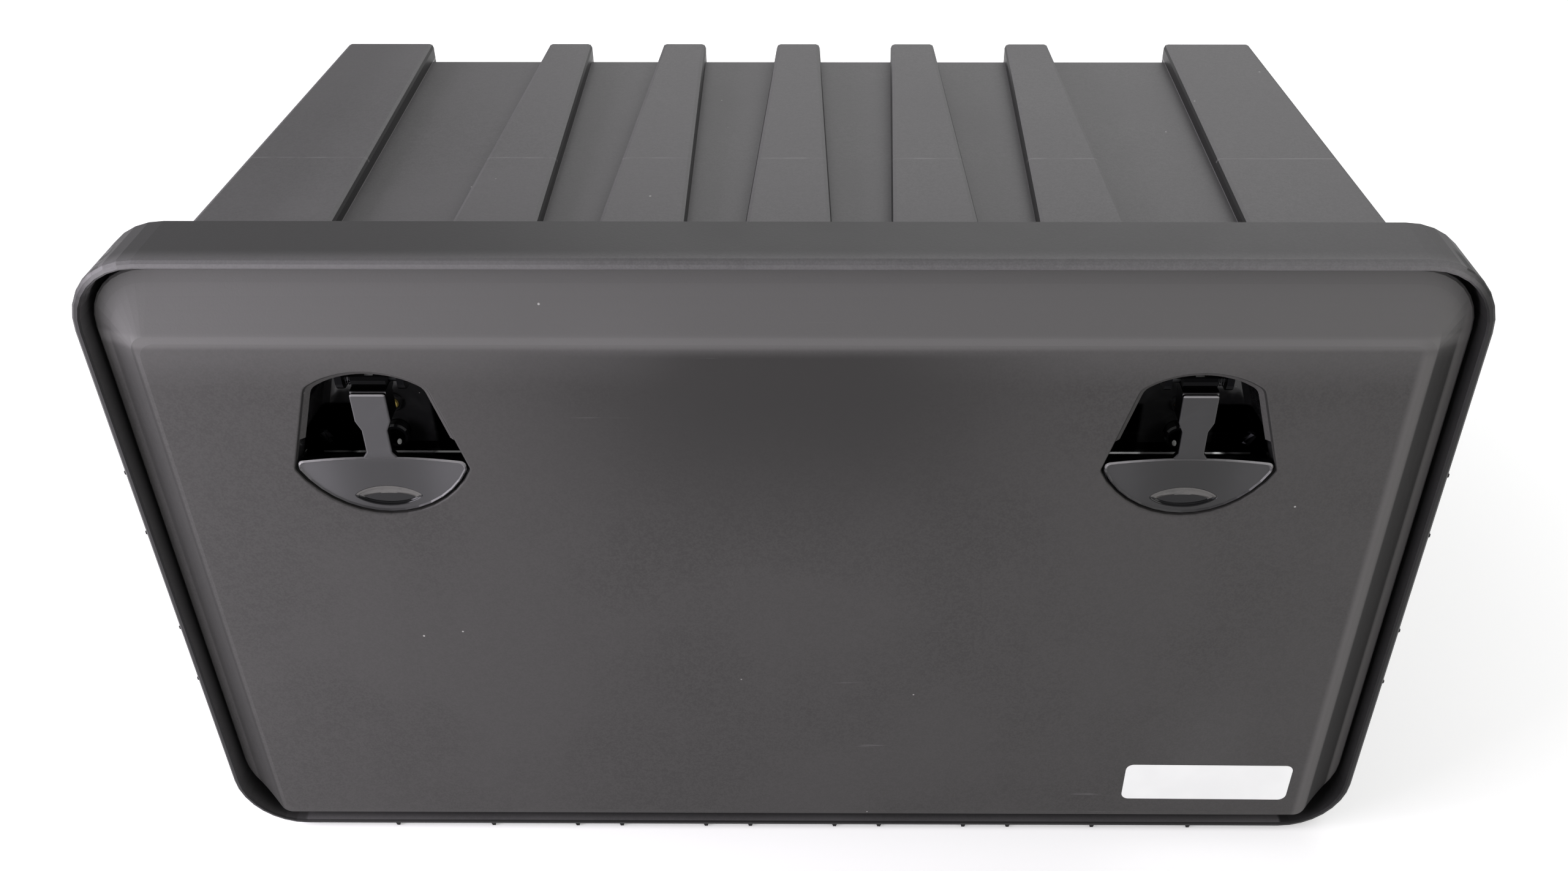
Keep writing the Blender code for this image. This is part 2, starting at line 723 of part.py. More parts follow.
def recess_outline(x, outset):
    """The recess outline round x, moved outwards by outset."""
    top_arc = RECESS_TOP_ARC + outset
    low_arc = RECESS_LOW_ARC + outset
    top_centre = RECESS_TOP - RECESS_TOP_ARC
    low_centre = RECESS_BOTTOM + RECESS_LOW_ARC
    high_half, high_level = recess_corner(outset, top_arc, top_centre, True)
    low_half, low_level = recess_corner(outset, low_arc, low_centre, False)
    corners = [(-low_half, low_level, RECESS_LOW_ROUND)]
    swing = asin(low_half / low_arc)
    for step in range(1, ARC_STEPS):
        angle = swing * (2 * step / ARC_STEPS - 1)
        corners.append((low_arc * sin(angle), low_centre - low_arc * cos(angle), 0))
    corners.append((low_half, low_level, RECESS_LOW_ROUND))
    corners.append((high_half, high_level, RECESS_HIGH_ROUND))
    swing = asin((high_half - RECESS_HIGH_ROUND * ROUND_SHARE) / top_arc)
    for step in range(1, ARC_STEPS):
        angle = swing * (1 - 2 * step / ARC_STEPS)
        corners.append((top_arc * sin(angle), top_centre + top_arc * cos(angle), 0))
    corners.append((-high_half, high_level, RECESS_HIGH_ROUND))
    return moved(rounded(corners, SMALL_STEPS), x, COLLAR_BASE)


def build_door():
    door = door_tray()
    join(door, *door_ribs())
    notch_half = KNUCKLE_HALF + EAR_WIDTH + HINGE_NOTCH
    for x in hinge_places():
        notch = block("notch", (x - notch_half, deep(DOOR_SKIN + GAP), COLLAR_BASE),
                      (x + notch_half, deep(DOOR_THICKNESS) + OVERRUN,
                       high(HINGE_NOTCH_TOP - KNUCKLE_RADIUS - HINGE_NOTCH)))
        cut_out(door, notch)
        centre = (x - KNUCKLE_HALF, deep(HINGE_DEPTH), high(HINGE_HEIGHT))
        knuckle = rod("knuckle", KNUCKLE_RADIUS, centre, 2 * KNUCKLE_HALF, ALONG_X)
        web = block("web", (x - KNUCKLE_HALF, deep(DOOR_SKIN - WELD),
                            high(HINGE_HEIGHT - KNUCKLE_RADIUS)),
                    (x + KNUCKLE_HALF, deep(HINGE_DEPTH),
                     high(HINGE_HEIGHT + KNUCKLE_RADIUS)))
        join(knuckle, web)
        bore = rod("bore", HINGE_PIN_RADIUS + GAP,
                   (x - KNUCKLE_HALF - OVERRUN, deep(HINGE_DEPTH), high(HINGE_HEIGHT)),
                   2 * (KNUCKLE_HALF + OVERRUN), ALONG_X, SMALL_SIDES)
        cut_out(knuckle, bore)
        join(door, knuckle)
    for _, side in SIDES:
        x = side * LATCH_SPREAD
        edge = RECESS_EDGE_ROUND
        loops = [at_depth(recess_outline(x, edge + WELD), FRONT - WELD)]
        for step in range(SMALL_STEPS + 1):
            angle = pi / 2 * step / SMALL_STEPS
            loops.append(at_depth(recess_outline(x, edge * (1 - sin(angle))),
                                  deep(edge * (1 - cos(angle)))))
        slope = RECESS_FLARE / (DOOR_SKIN - edge)
        loops.append(at_depth(recess_outline(x, -RECESS_FLARE - slope * WELD),
                              deep(DOOR_SKIN) + WELD))
        cut_out(door, loft("hole", loops))
        straight = plate("straight", recess_outline(x, FLARE_PLAY), deep(edge * ROUND_SHARE),
                         deep(DOOR_SKIN) + 2 * WELD)
        keep = block("keep", (x - BOWL_FLANGE_HALF, FRONT, high(RECESS_BOTTOM - OVERRUN)),
                     (x + BOWL_FLANGE_HALF, deep(DOOR_SKIN + OVERRUN), high(FLARE_FOOT)))
        cut_out(door, combine(straight, [keep], "INTERSECT"))
    return finish(door, BLACK_MOULDING)


# Hinges

def build_hinges():
    names = ("left", "centre", "right")
    axis_y = deep(HINGE_DEPTH)
    axis_z = high(HINGE_HEIGHT)
    plate_back = deep(COLLAR_DEPTH - FLANGE_THICKNESS) - GAP
    plate_front = plate_back - BRACKET_PLATE
    for name, x in zip(names, hinge_places()):
        outline = moved(rectangle(BRACKET_HALF, high(BRACKET_LOW),
                                  axis_z + KNUCKLE_RADIUS, RIB_ROUND, RIB_ROUND, SMALL_STEPS), x)
        bracket = plate("hinge_bracket_" + name, outline, plate_front, plate_back)
        for side in (-1, 1):
            near = x + side * (KNUCKLE_HALF + GAP)
            far = near + side * EAR_WIDTH
            low, top = sorted((near, far))
            ear = rod("ear", KNUCKLE_RADIUS, (low, axis_y, axis_z), top - low, ALONG_X)
            arm = block("arm", (low, axis_y, axis_z - KNUCKLE_RADIUS),
                        (top, plate_front + WELD, axis_z + KNUCKLE_RADIUS))
            join(bracket, join(ear, arm))
        bore = rod("bore", HINGE_PIN_RADIUS + GAP, (x - BRACKET_HALF, axis_y, axis_z),
                   2 * BRACKET_HALF, ALONG_X, SMALL_SIDES)
        cut_out(bracket, bore)
        finish(bracket, BLACK_MOULDING)
        reach = KNUCKLE_HALF + EAR_WIDTH + 2 * GAP
        profile = [(HINGE_PIN_HEAD, -HINGE_PIN_HEAD_LENGTH), (HINGE_PIN_HEAD, 0),
                   (HINGE_PIN_RADIUS, 0), (HINGE_PIN_RADIUS, 2 * reach),
                   (HINGE_PIN_HEAD, 2 * reach), (HINGE_PIN_HEAD, 2 * reach + HINGE_PIN_HEAD_LENGTH)]
        pin = turned("hinge_pin_" + name, profile, (x - reach, axis_y, axis_z), ALONG_X,
                     SMALL_SIDES)
        finish(pin, STEEL)


def build_strikers():
    top = ceiling() - GAP
    for name, side in SIDES:
        x = side * LATCH_SPREAD
        front = deep(STRIKER_DEPTH)
        base = block("striker_" + name, (x - STRIKER_HALF, front, top - STRIKER_THICKNESS),
                     (x + STRIKER_HALF, front + STRIKER_LENGTH, top))
        leg = block("leg", (x - STRIKER_HALF, front, high(STRIKER_LOW)),
                    (x + STRIKER_HALF, front + STRIKER_LEG, top - STRIKER_THICKNESS * ROUND_SHARE))
        finish(join(base, leg), STEEL)


# Latches

def bowl_hollow(x, front, back, draft):
    """The space inside the bowl: drafted walls and a rounded floor."""
    loops = [at_depth(recess_outline(x, 0), front - WELD)]
    for step in range(SMALL_STEPS + 1):
        angle = pi / 2 * step / SMALL_STEPS
        inset = draft + BOWL_FLOOR_ROUND * (1 - cos(angle))
        loops.append(at_depth(recess_outline(x, -inset),
                              back - BOWL_FLOOR_ROUND * (1 - sin(angle))))
    return loft("hollow", loops)


def bowl_ledge(x, front, back):
    """Step across the lower part of the bowl, with a chamfered front edge."""
    top = high(RECESS_BOTTOM + LEDGE_RISE)
    face = deep(LEDGE_DEPTH)
    outline = [(back + WELD, high(RECESS_BOTTOM)), (face, high(RECESS_BOTTOM)),
               (face, top - LEDGE_CHAMFER), (face + LEDGE_CHAMFER, top), (back + WELD, top)]
    slab = side_plate("ledge", outline, x - RECESS_LOW_HALF, x + RECESS_LOW_HALF)
    cup = loft("cup", [at_depth(recess_outline(x, BOWL_WALL * ROUND_SHARE), front),
                       at_depth(recess_outline(x, -BOWL_DRAFT), back)])
    return combine(slab, [cup], "INTERSECT")


def build_bowl(name, x):
    """Dished bowl behind the door skin, with a flange, pin lugs and a slot for the hook."""
    front = deep(DOOR_SKIN) + GAP
    back = deep(BOWL_DEPTH)
    flange = moved(rectangle(BOWL_FLANGE_HALF, high(RECESS_BOTTOM - BOWL_FLANGE_EDGE),
                             high(RECESS_TOP + BOWL_FLANGE_EDGE),
                             BOWL_FLANGE_ROUND, BOWL_FLANGE_ROUND, SMALL_STEPS), x)
    bowl = plate("latch_bowl_" + name, flange, front, front + BOWL_WALL)
    cup = loft("cup", [at_depth(recess_outline(x, BOWL_WALL), front + BOWL_WALL / 2),
                       at_depth(recess_outline(x, BOWL_WALL - BOWL_DRAFT),
                                back + BOWL_WALL - BOWL_FLOOR_ROUND),
                       at_depth(recess_outline(x, BOWL_WALL - BOWL_DRAFT - BOWL_FLOOR_ROUND),
                                back + BOWL_WALL)])
    join(bowl, cup)
    cut_out(bowl, bowl_hollow(x, front, back, BOWL_DRAFT))
    join(bowl, bowl_ledge(x, front, back))
    boss = turned("boss", [(BOSS_RADIUS, WELD), (BOSS_RADIUS, -BOSS_REACH * ROUND_SHARE),
                           (BOSS_RADIUS - BOSS_REACH * ROUND_SHARE, -BOSS_REACH)],
                  (x, back, high(BOLT_HEIGHT)), ALONG_Y)
    join(bowl, boss)
    pivot_y = deep(PIVOT_DEPTH)
    pivot_z = high(PIVOT_HEIGHT)
    reach = LUG_INNER + LUG_WIDTH
    arc = RECESS_TOP_ARC + BOWL_WALL * ROUND_SHARE
    roof = high(RECESS_TOP - RECESS_TOP_ARC) + sqrt(arc * arc - reach * reach)
    front_edge = pivot_y - LUG_RADIUS
    low_edge = pivot_z - LUG_RADIUS
    rear_edge = back + BOWL_WALL * ROUND_SHARE
    lug_outline = rounded([(front_edge, roof, 0), (front_edge, low_edge, LUG_ROUND),
                           (pivot_y + LUG_RADIUS, low_edge, LUG_ROUND),
                           (rear_edge, pivot_z, 0), (rear_edge, roof, 0)], SMALL_STEPS)
    lugs = []
    for side in (-1, 1):
        low, top = sorted((x + side * LUG_INNER, x + side * reach))
        lugs.append(side_plate("lug", lug_outline, low, top))
    join(bowl, *lugs)
    pin_hole = rod("pin_hole", PIVOT_RADIUS + GAP, (x - reach - WELD, pivot_y, pivot_z),
                   2 * (reach + WELD), ALONG_X, SMALL_SIDES)
    slot = block("slot", (x - SLOT_HALF, back - BOWL_FLOOR_ROUND - OVERRUN, high(SLOT_LOW)),
                 (x + SLOT_HALF, back + BOWL_WALL + WELD, high(SLOT_TOP)))
    lock_hole = rod("lock_hole", LOCK_RADIUS + GAP, (x, back - OVERRUN, high(LOCK_HEIGHT)),
                    2 * OVERRUN, ALONG_Y)
    bolt_hole = rod("bolt_hole", BOLT_RADIUS + GAP, (x, back - OVERRUN, high(BOLT_HEIGHT)),
                    2 * OVERRUN, ALONG_Y, SMALL_SIDES)
    cut_out(bowl, pin_hole, slot, lock_hole, bolt_hole)
    return finish(bowl, GLOSS_BLACK)


def paddle_outline(x, inset):
    """Half-moon outline with a slightly arched upper edge."""
    arc = RECESS_LOW_ARC - PADDLE_GAP - inset
    centre = RECESS_BOTTOM + RECESS_LOW_ARC
    half = PADDLE_HALF - inset
    low = centre - sqrt(arc * arc - half * half)
    top = PADDLE_TOP - inset
    corners = [(-half, low, PADDLE_ROUND)]
    swing = asin(half / arc)
    for step in range(1, ARC_STEPS):
        angle = swing * (2 * step / ARC_STEPS - 1)
        corners.append((arc * sin(angle), centre - arc * cos(angle), 0))
    corners.append((half, low, PADDLE_ROUND))
    corners.append((half, top - PADDLE_TOP_SAG, PADDLE_ROUND))
    for step in range(1, ARC_STEPS):
        share = 1 - 2 * step / ARC_STEPS
        corners.append((half * share, top - PADDLE_TOP_SAG * share * share, 0))
    corners.append((-half, top - PADDLE_TOP_SAG, PADDLE_ROUND))
    return moved(rounded(corners, SMALL_STEPS), x, COLLAR_BASE)


def stem_outline(x):
    right = [(STEM_FLARE_HALF, PADDLE_TOP - PADDLE_RIM, 0), (STEM_HALF, STEM_FLARE_TOP, STEM_ROUND),
             (STEM_HALF, STEM_SHOULDER_LOW, STEM_ROUND),
             (STEM_TOP_HALF, STEM_SHOULDER_HIGH, STEM_ROUND),
             (STEM_TOP_HALF, STEM_TOP, STEM_ROUND)]
    left = [(-a, b, radius) for a, b, radius in reversed(right)]
    return moved(rounded(right + left, SMALL_STEPS), x, COLLAR_BASE)


def notch_outline(x, inset):
    """Lens outline of the finger notch."""
    points = []
    half = NOTCH_HALF - inset
    rise = NOTCH_RISE - inset
    for step in range(2 * ARC_STEPS):
        angle = pi * step / ARC_STEPS
        bulge = sin(angle) * abs(sin(angle))
        points.append((half * cos(angle), NOTCH_HEIGHT + rise * ROUND_SHARE * (bulge + sin(angle))))
    return moved(points, x, COLLAR_BASE)


def build_handle(name, x):
    face = deep(PADDLE_FACE)
    back = face + PADDLE_THICKNESS
    rim = PADDLE_RIM_RISE
    loops = [at_depth(paddle_outline(x, PADDLE_RIM * 2), face + rim),
             at_depth(paddle_outline(x, PADDLE_RIM), face + rim),
             at_depth(paddle_outline(x, PADDLE_RIM * (1 - ROUND_SHARE)), face),
             at_depth(paddle_outline(x, 0), face + rim),
             at_depth(paddle_outline(x, 0), back)]
    handle = loft("handle_" + name, loops)
    stem = plate("stem", stem_outline(x), face + rim * ROUND_SHARE, back)
    join(handle, soften(stem, STEM_EDGE_ROUND))
    pivot_y = deep(PIVOT_DEPTH)
    pivot_z = high(PIVOT_HEIGHT)
    hub = rod("hub", HUB_RADIUS, (x - HUB_HALF, pivot_y, pivot_z), 2 * HUB_HALF, ALONG_X)
    neck = block("neck", (x - STEM_TOP_HALF, back - WELD, high(STEM_SHOULDER_HIGH)),
                 (x + STEM_TOP_HALF, pivot_y, pivot_z - WELD))
    join(handle, join(hub, neck))
    notch = loft("notch", [at_depth(notch_outline(x, 0), face - WELD),
                           at_depth(notch_outline(x, 0), face + NOTCH_DEPTH * NEAR_SHARE),
                           at_depth(notch_outline(x, NOTCH_DEPTH * ROUND_SHARE),
                                    face + NOTCH_DEPTH)])
    pin_hole = rod("pin_hole", PIVOT_RADIUS + GAP, (x - HUB_HALF - WELD, pivot_y, pivot_z),
                   2 * (HUB_HALF + WELD), ALONG_X, SMALL_SIDES)
    half = HOOK_THICKNESS / 2 + HOOK_SLOT_GAP
    slot = block("slot", (x - half, pivot_y - LUG_RADIUS - HOOK_SLOT_GAP,
                          pivot_z - HUB_RADIUS - OVERRUN),
                 (x + half, pivot_y + HUB_RADIUS + WELD, pivot_z + HUB_RADIUS + WELD))
    cut_out(handle, notch, slot, pin_hole)
    return finish(handle, SATIN_BLACK)


def build_hook(name, x):
    """Flat steel hook: an eye on the pivot pin, an arm and an upturned nose."""
    pivot_y = deep(PIVOT_DEPTH)
    pivot_z = high(PIVOT_HEIGHT)
    half = HOOK_THICKNESS / 2
    arm_low = pivot_z + HOOK_ARM_RISE - HOOK_ARM_HALF
    arm_top = pivot_z + HOOK_ARM_RISE + HOOK_ARM_HALF
    end = deep(HOOK_REACH)
    nose = end - HOOK_NOSE
    tip = high(HOOK_TIP)
    heel = HOOK_NOSE * ROUND_SHARE
    outline = rounded([(pivot_y, arm_low, 0), (end - heel, arm_low, heel), (end, arm_top, 0),
                       (end - HOOK_NOSE * NEAR_SHARE, tip, HOOK_SLOT_GAP),
                       (nose, tip, HOOK_SLOT_GAP), (nose, arm_top, HOOK_SLOT_GAP),
                       (pivot_y, arm_top, 0)], SMALL_STEPS)
    hook = side_plate("hook_" + name, outline, x - half, x + half)
    eye = rod("eye", LUG_RADIUS, (x - half, pivot_y, pivot_z), 2 * half, ALONG_X)
    join(hook, eye)
    hole = rod("hole", PIVOT_RADIUS + GAP, (x - half - WELD, pivot_y, pivot_z),
               2 * (half + WELD), ALONG_X, SMALL_SIDES)
    cut_out(hook, hole)
    return finish(hook, STEEL)


def build_pivot(name, x):
    reach = LUG_INNER + LUG_WIDTH + PIVOT_PIN_OVERHANG
    start = (x - reach, deep(PIVOT_DEPTH), high(PIVOT_HEIGHT))
    pin = rod("pivot_pin_" + name, PIVOT_RADIUS, start, 2 * reach, ALONG_X, SMALL_SIDES)
    return finish(pin, STEEL)


def least_gap(points, thickness):
    """Least space between one turn of a wound wire and the next."""
    places = [Vector(point) for point in points]
    apart = SPRING_STEPS // 2
    return min((places[first] - places[second]).length - thickness
               for first in range(len(places))
               for second in range(first + apart, len(places)))


def build_spring(name, side, x):
    """Torsion spring: one wire, wound round the pin beside the hub, with two straight legs."""
    centre_y = deep(PIVOT_DEPTH)
    centre_z = high(PIVOT_HEIGHT)
    start = x + side * (HUB_HALF + 2 * GAP + SPRING_WIRE / 2)
    count = SPRING_TURNS * SPRING_STEPS
    points = [(start, centre_y + SPRING_RADIUS, centre_z - SPRING_LEG)]
    for step in range(count + 1):
        angle = 2 * pi * step / SPRING_STEPS
        along = start + side * SPRING_PITCH * step / SPRING_STEPS
        points.append((along, centre_y + SPRING_RADIUS * cos(angle),
                       centre_z + SPRING_RADIUS * sin(angle)))
    last = points[-1]
    points.append((last[0], last[1], last[2] + SPRING_LEG))
    print("least gap of", "handle_spring_" + name, least_gap(points, SPRING_WIRE), "m")
    return finish(wire("handle_spring_" + name, points, SPRING_WIRE / 2), SPRING_STEEL)


def build_lock(name, x):
    """Key cylinder: housing through the bowl, nut, turning plug and cam."""
    z = high(LOCK_HEIGHT)
    face = deep(LOCK_FACE)
    length = LOCK_END - LOCK_FACE
    housing = turned("lock_housing_" + name,
                     [(LOCK_RADIUS, 0), (LOCK_BEZEL_RADIUS, LOCK_BEZEL_LENGTH * NEAR_SHARE),
                      (LOCK_BEZEL_RADIUS, LOCK_BEZEL_LENGTH), (LOCK_RADIUS, LOCK_BEZEL_LENGTH),
                      (LOCK_RADIUS, length)], (x, face, z), ALONG_Y)
    bore = rod("bore", PLUG_RADIUS + GAP, (x, face - WELD, z), length + 2 * WELD, ALONG_Y)
    cut_out(housing, bore)
    finish(housing, ZINC)
    plug_front = face - PLUG_PROUD
    plug = rod("lock_plug_" + name, PLUG_RADIUS, (x, plug_front, z),
               length + PLUG_PROUD + GAP, ALONG_Y)
    keyway = block("keyway", (x - KEYWAY_WIDTH / 2, plug_front - WELD, z - KEYWAY_HEIGHT / 2),
                   (x + KEYWAY_WIDTH / 2, plug_front + KEYWAY_DEPTH, z + KEYWAY_HEIGHT / 2))
    finish(cut_out(plug, keyway), BRASS)
    nut_front = deep(BOWL_DEPTH) + BOWL_WALL + GAP
    hexagon = [(x + LOCK_NUT_HALF * cos(pi * k / 3), z + LOCK_NUT_HALF * sin(pi * k / 3))
               for k in range(6)]
    nut = plate("lock_nut_" + name, hexagon, nut_front, nut_front + LOCK_NUT_THICKNESS)
    cut_out(nut, rod("hole", LOCK_RADIUS + GAP, (x, nut_front - WELD, z),
                     LOCK_NUT_THICKNESS + 2 * WELD, ALONG_Y))
    finish(nut, STEEL)
    cam_front = deep(LOCK_END) + 2 * GAP
    cam_outline = rounded([(x - CAM_HALF, z - CAM_LENGTH, CAM_HALF * ROUND_SHARE),
                           (x + CAM_HALF, z - CAM_LENGTH, CAM_HALF * ROUND_SHARE),
                           (x + CAM_ROUND, z + CAM_ROUND, CAM_HALF),
                           (x - CAM_ROUND, z + CAM_ROUND, CAM_HALF)], SMALL_STEPS)
    cam = plate("lock_cam_" + name, cam_outline, cam_front, cam_front + CAM_THICKNESS)
    finish(cam, STEEL)
    head = turned("cam_screw_" + name,
                  [(CAM_SCREW_RADIUS, 0), (CAM_SCREW_RADIUS, CAM_SCREW_HEIGHT * ROUND_SHARE),
                   (CAM_SCREW_RADIUS * ROUND_SHARE, CAM_SCREW_HEIGHT)],
                  (x, cam_front + CAM_THICKNESS + GAP, z), ALONG_Y, SMALL_SIDES)
    finish(head, STEEL)
    return housing, nut, plug, cam, head


def build_bolt(name, x):
    """Button-head bolt that holds the bowl's back wall."""
    seat = deep(BOWL_DEPTH) - BOSS_REACH - GAP
    profile = [(BOLT_HEAD * ROUND_SHARE, -BOLT_HEAD_HEIGHT),
               (BOLT_HEAD * (1 - NEAR_SHARE * ROUND_SHARE), -BOLT_HEAD_HEIGHT * (1 - NEAR_SHARE)),
               (BOLT_HEAD, 0), (BOLT_RADIUS, 0),
               (BOLT_RADIUS, BOSS_REACH + BOWL_WALL + BOLT_HEAD_HEIGHT)]
    bolt = turned("bowl_bolt_" + name, profile, (x, seat, high(BOLT_HEIGHT)), ALONG_Y,
                  SMALL_SIDES)
    return finish(bolt, YELLOW_ZINC)


def carry(axis_name, place, pieces, carrier=None):
    """Hang pieces on an empty that stands on the axis they turn about."""
    axis = bpy.data.objects.new(axis_name, None)
    bpy.context.collection.objects.link(axis)
    axis.empty_display_size = KNUCKLE_HALF
    axis.location = place
    if carrier is not None:
        axis.parent = carrier
        axis.matrix_parent_inverse = Matrix.Translation(-carrier.location)
    for piece in pieces:
        piece.parent = axis
        piece.matrix_parent_inverse = Matrix.Translation(-Vector(place))
    return axis


def build_latches(door_axis):
    for name, side in SIDES:
        x = side * LATCH_SPREAD
        fixed = [build_bowl(name, x), build_pivot(name, x), build_spring(name, side, x),
                 build_bolt(name, x)]
        housing, nut, plug, cam, screw = build_lock(name, x)
        for piece in fixed + [housing, nut]:
            piece.parent = door_axis
            piece.matrix_parent_inverse = Matrix.Translation(-door_axis.location)
        carry("handle_axis_" + name, (x, deep(PIVOT_DEPTH), high(PIVOT_HEIGHT)),
              [build_handle(name, x), build_hook(name, x)], door_axis)
        carry("lock_axis_" + name, (x, deep(LOCK_FACE), high(LOCK_HEIGHT)),
              [plug, cam, screw], door_axis)


def main():
    clear_scene()
    build_body_shell()
    build_seal()
    door_axis = carry("door_axis", (0, deep(HINGE_DEPTH), high(HINGE_HEIGHT)), [build_door()])
    build_hinges()
    build_strikers()
    build_latches(door_axis)


main()
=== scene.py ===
"""Looks of the underbody tool box: finishes, screws, the blank label, the studio and the camera."""
from math import cos, pi, radians, sin

import bmesh
import bpy
from mathutils import Matrix, Vector


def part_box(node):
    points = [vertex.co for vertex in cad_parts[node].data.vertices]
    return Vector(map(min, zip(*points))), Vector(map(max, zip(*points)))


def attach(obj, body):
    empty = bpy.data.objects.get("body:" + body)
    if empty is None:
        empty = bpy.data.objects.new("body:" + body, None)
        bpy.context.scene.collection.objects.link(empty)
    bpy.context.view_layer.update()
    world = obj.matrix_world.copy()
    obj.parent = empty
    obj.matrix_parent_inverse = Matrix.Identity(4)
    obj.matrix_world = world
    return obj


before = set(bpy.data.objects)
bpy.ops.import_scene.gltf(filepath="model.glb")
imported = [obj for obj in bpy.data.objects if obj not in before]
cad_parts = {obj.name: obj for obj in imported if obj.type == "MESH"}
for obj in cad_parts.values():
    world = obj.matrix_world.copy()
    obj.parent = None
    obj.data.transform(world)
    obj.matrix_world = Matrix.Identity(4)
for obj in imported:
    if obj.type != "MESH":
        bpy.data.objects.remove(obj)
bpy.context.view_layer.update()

SIDES = (("left", -1), ("right", 1))

# Places on the box, in metres. Depths count from the front face of the collar and heights from
# its lower edge. The four functions below turn them into places in the frame.
FRONT = -0.225
COLLAR_BASE = 0.003
LATCH_SPREAD = 0.2272
HINGE_SPREAD = 0.240
SKIN = 0.004
GAP = 0.0003


def deep(distance):
    return FRONT + distance


def high(distance):
    return COLLAR_BASE + distance


def depths(first, second):
    return deep(first), deep(second)


def heights(first, second):
    return high(first), high(second)


# Nodes

def feed(tree, socket, value):
    """Sets a socket to a number or a colour, or links another node's output to it."""
    if isinstance(value, (int, float)):
        socket.default_value = value
    elif isinstance(value, tuple):
        socket.default_value = (*value, 1.0)
    else:
        tree.links.new(value, socket)


def math_node(tree, operation, first, second=None):
    node = tree.nodes.new("ShaderNodeMath")
    node.operation = operation
    feed(tree, node.inputs[0], first)
    if second is not None:
        feed(tree, node.inputs[1], second)
    return node.outputs[0]


def noise_node(tree, vector, scale, detail=2.0, roughness=0.5, distortion=0.0):
    node = tree.nodes.new("ShaderNodeTexNoise")
    for label, value in (("Vector", vector), ("Scale", scale), ("Detail", detail),
                         ("Roughness", roughness), ("Distortion", distortion)):
        feed(tree, node.inputs[label], value)
    return node.outputs["Fac"]


def range_node(tree, value, low, top, to_low=0.0, to_top=1.0, smooth=True):
    """Maps low..top to to_low..to_top, held at its ends. The first end may be the greater one."""
    node = tree.nodes.new("ShaderNodeMapRange")
    if smooth:
        node.interpolation_type = "SMOOTHSTEP"
    for label, number in (("Value", value), ("From Min", low), ("From Max", top),
                          ("To Min", to_low), ("To Max", to_top)):
        feed(tree, node.inputs[label], number)
    return node.outputs["Result"]


def mix_colour(tree, share, first, second):
    """first where the share is 0, second where it is 1."""
    node = tree.nodes.new("ShaderNodeMix")
    node.data_type = "RGBA"
    for label, value in (("Factor", share), ("A", first), ("B", second)):
        feed(tree, node.inputs[label], value)
    return node.outputs["Result"]


def layered(tree, base, *layers):
    """Lays colours over a base colour in turn, each where its mask is 1."""
    for mask, colour in layers:
        base = mix_colour(tree, mask, base, colour)
    return base


def mix_value(tree, share, first, second):
    """first where the share is 0, second where it is 1."""
    kept = math_node(tree, "MULTIPLY", math_node(tree, "SUBTRACT", 1.0, share), first)
    return math_node(tree, "ADD", kept, math_node(tree, "MULTIPLY", share, second))


def product(tree, *masks):
    total = masks[0]
    for mask in masks[1:]:
        total = math_node(tree, "MULTIPLY", total, mask)
    return total


def largest(tree, *masks):
    total = masks[0]
    for mask in masks[1:]:
        total = math_node(tree, "MAXIMUM", total, mask)
    return total


def band(tree, value, centre, half, soft):
    """1 where the value lies within half of the centre, falling to 0 over the soft width."""
    away = math_node(tree, "ABSOLUTE", math_node(tree, "SUBTRACT", value, centre))
    return range_node(tree, away, half + soft, half)


def inside(tree, value, low, top, soft):
    """1 between low and top, falling to 0 over the soft width at either end."""
    return band(tree, value, (low + top) / 2, (top - low) / 2, soft)


def axis_value(tree, place, axis):
    split = tree.nodes.new("ShaderNodeSeparateXYZ")
    tree.links.new(place, split.inputs[0])
    return split.outputs[axis]


def normal_value(tree, axis):
    """One part of the surface's direction, in the frame of the piece."""
    return axis_value(tree, tree.nodes.new("ShaderNodeTexCoord").outputs["Normal"], axis)


def side_value(tree, place):
    """Distance to the side from the middle of the box."""
    return math_node(tree, "ABSOLUTE", axis_value(tree, place, "X"))


def scaled(colour, factor):
    return tuple(part * factor for part in colour)


# Node groups. Sizes are in metres, scales in cells per metre, pairs are the ends of soft steps.

GRAIN_SIZE = 0.0011
COARSE_FACTOR = 0.35
FINE_SHARE = 0.7
COARSE_SHARE = 0.3
CLOUD_SIZE = 0.12
SPECK_SCALE = 38.0
SPECK_DISC = (0.035, 0.018)
SPECK_PATCH_SCALE = 9.0
SPECK_PATCHES = (0.53, 0.57)
LINE_SIZE = 0.0006
LINE_STRETCH = (0.04, 1.0, 1.0)
SMUDGE_SIZE = 0.02
SMUDGE_STEP = (0.45, 0.75)
DUST_SCALE = 160.0
DUST_DISC = (0.07, 0.04)
DUST_PATCH_SCALE = 60.0
DUST_PATCHES = (0.66, 0.70)


def new_group(name, inputs, outputs):
    """An empty shader node group with named sockets; returns it with its input and output nodes.

    The first input is the place on the piece, each other input a size with its default.
    """
    group = bpy.data.node_groups.new(name, "ShaderNodeTree")
    group.interface.new_socket(name="Vector", in_out="INPUT", socket_type="NodeSocketVector")
    for label, default in inputs:
        socket = group.interface.new_socket(name=label, in_out="INPUT",
                                            socket_type="NodeSocketFloat")
        socket.default_value = default
    for label in outputs:
        group.interface.new_socket(name=label, in_out="OUTPUT", socket_type="NodeSocketFloat")
    return group, group.nodes.new("NodeGroupInput"), group.nodes.new("NodeGroupOutput")


def scale_of(group, given, label):
    return math_node(group, "DIVIDE", 1.0, given.outputs[label])


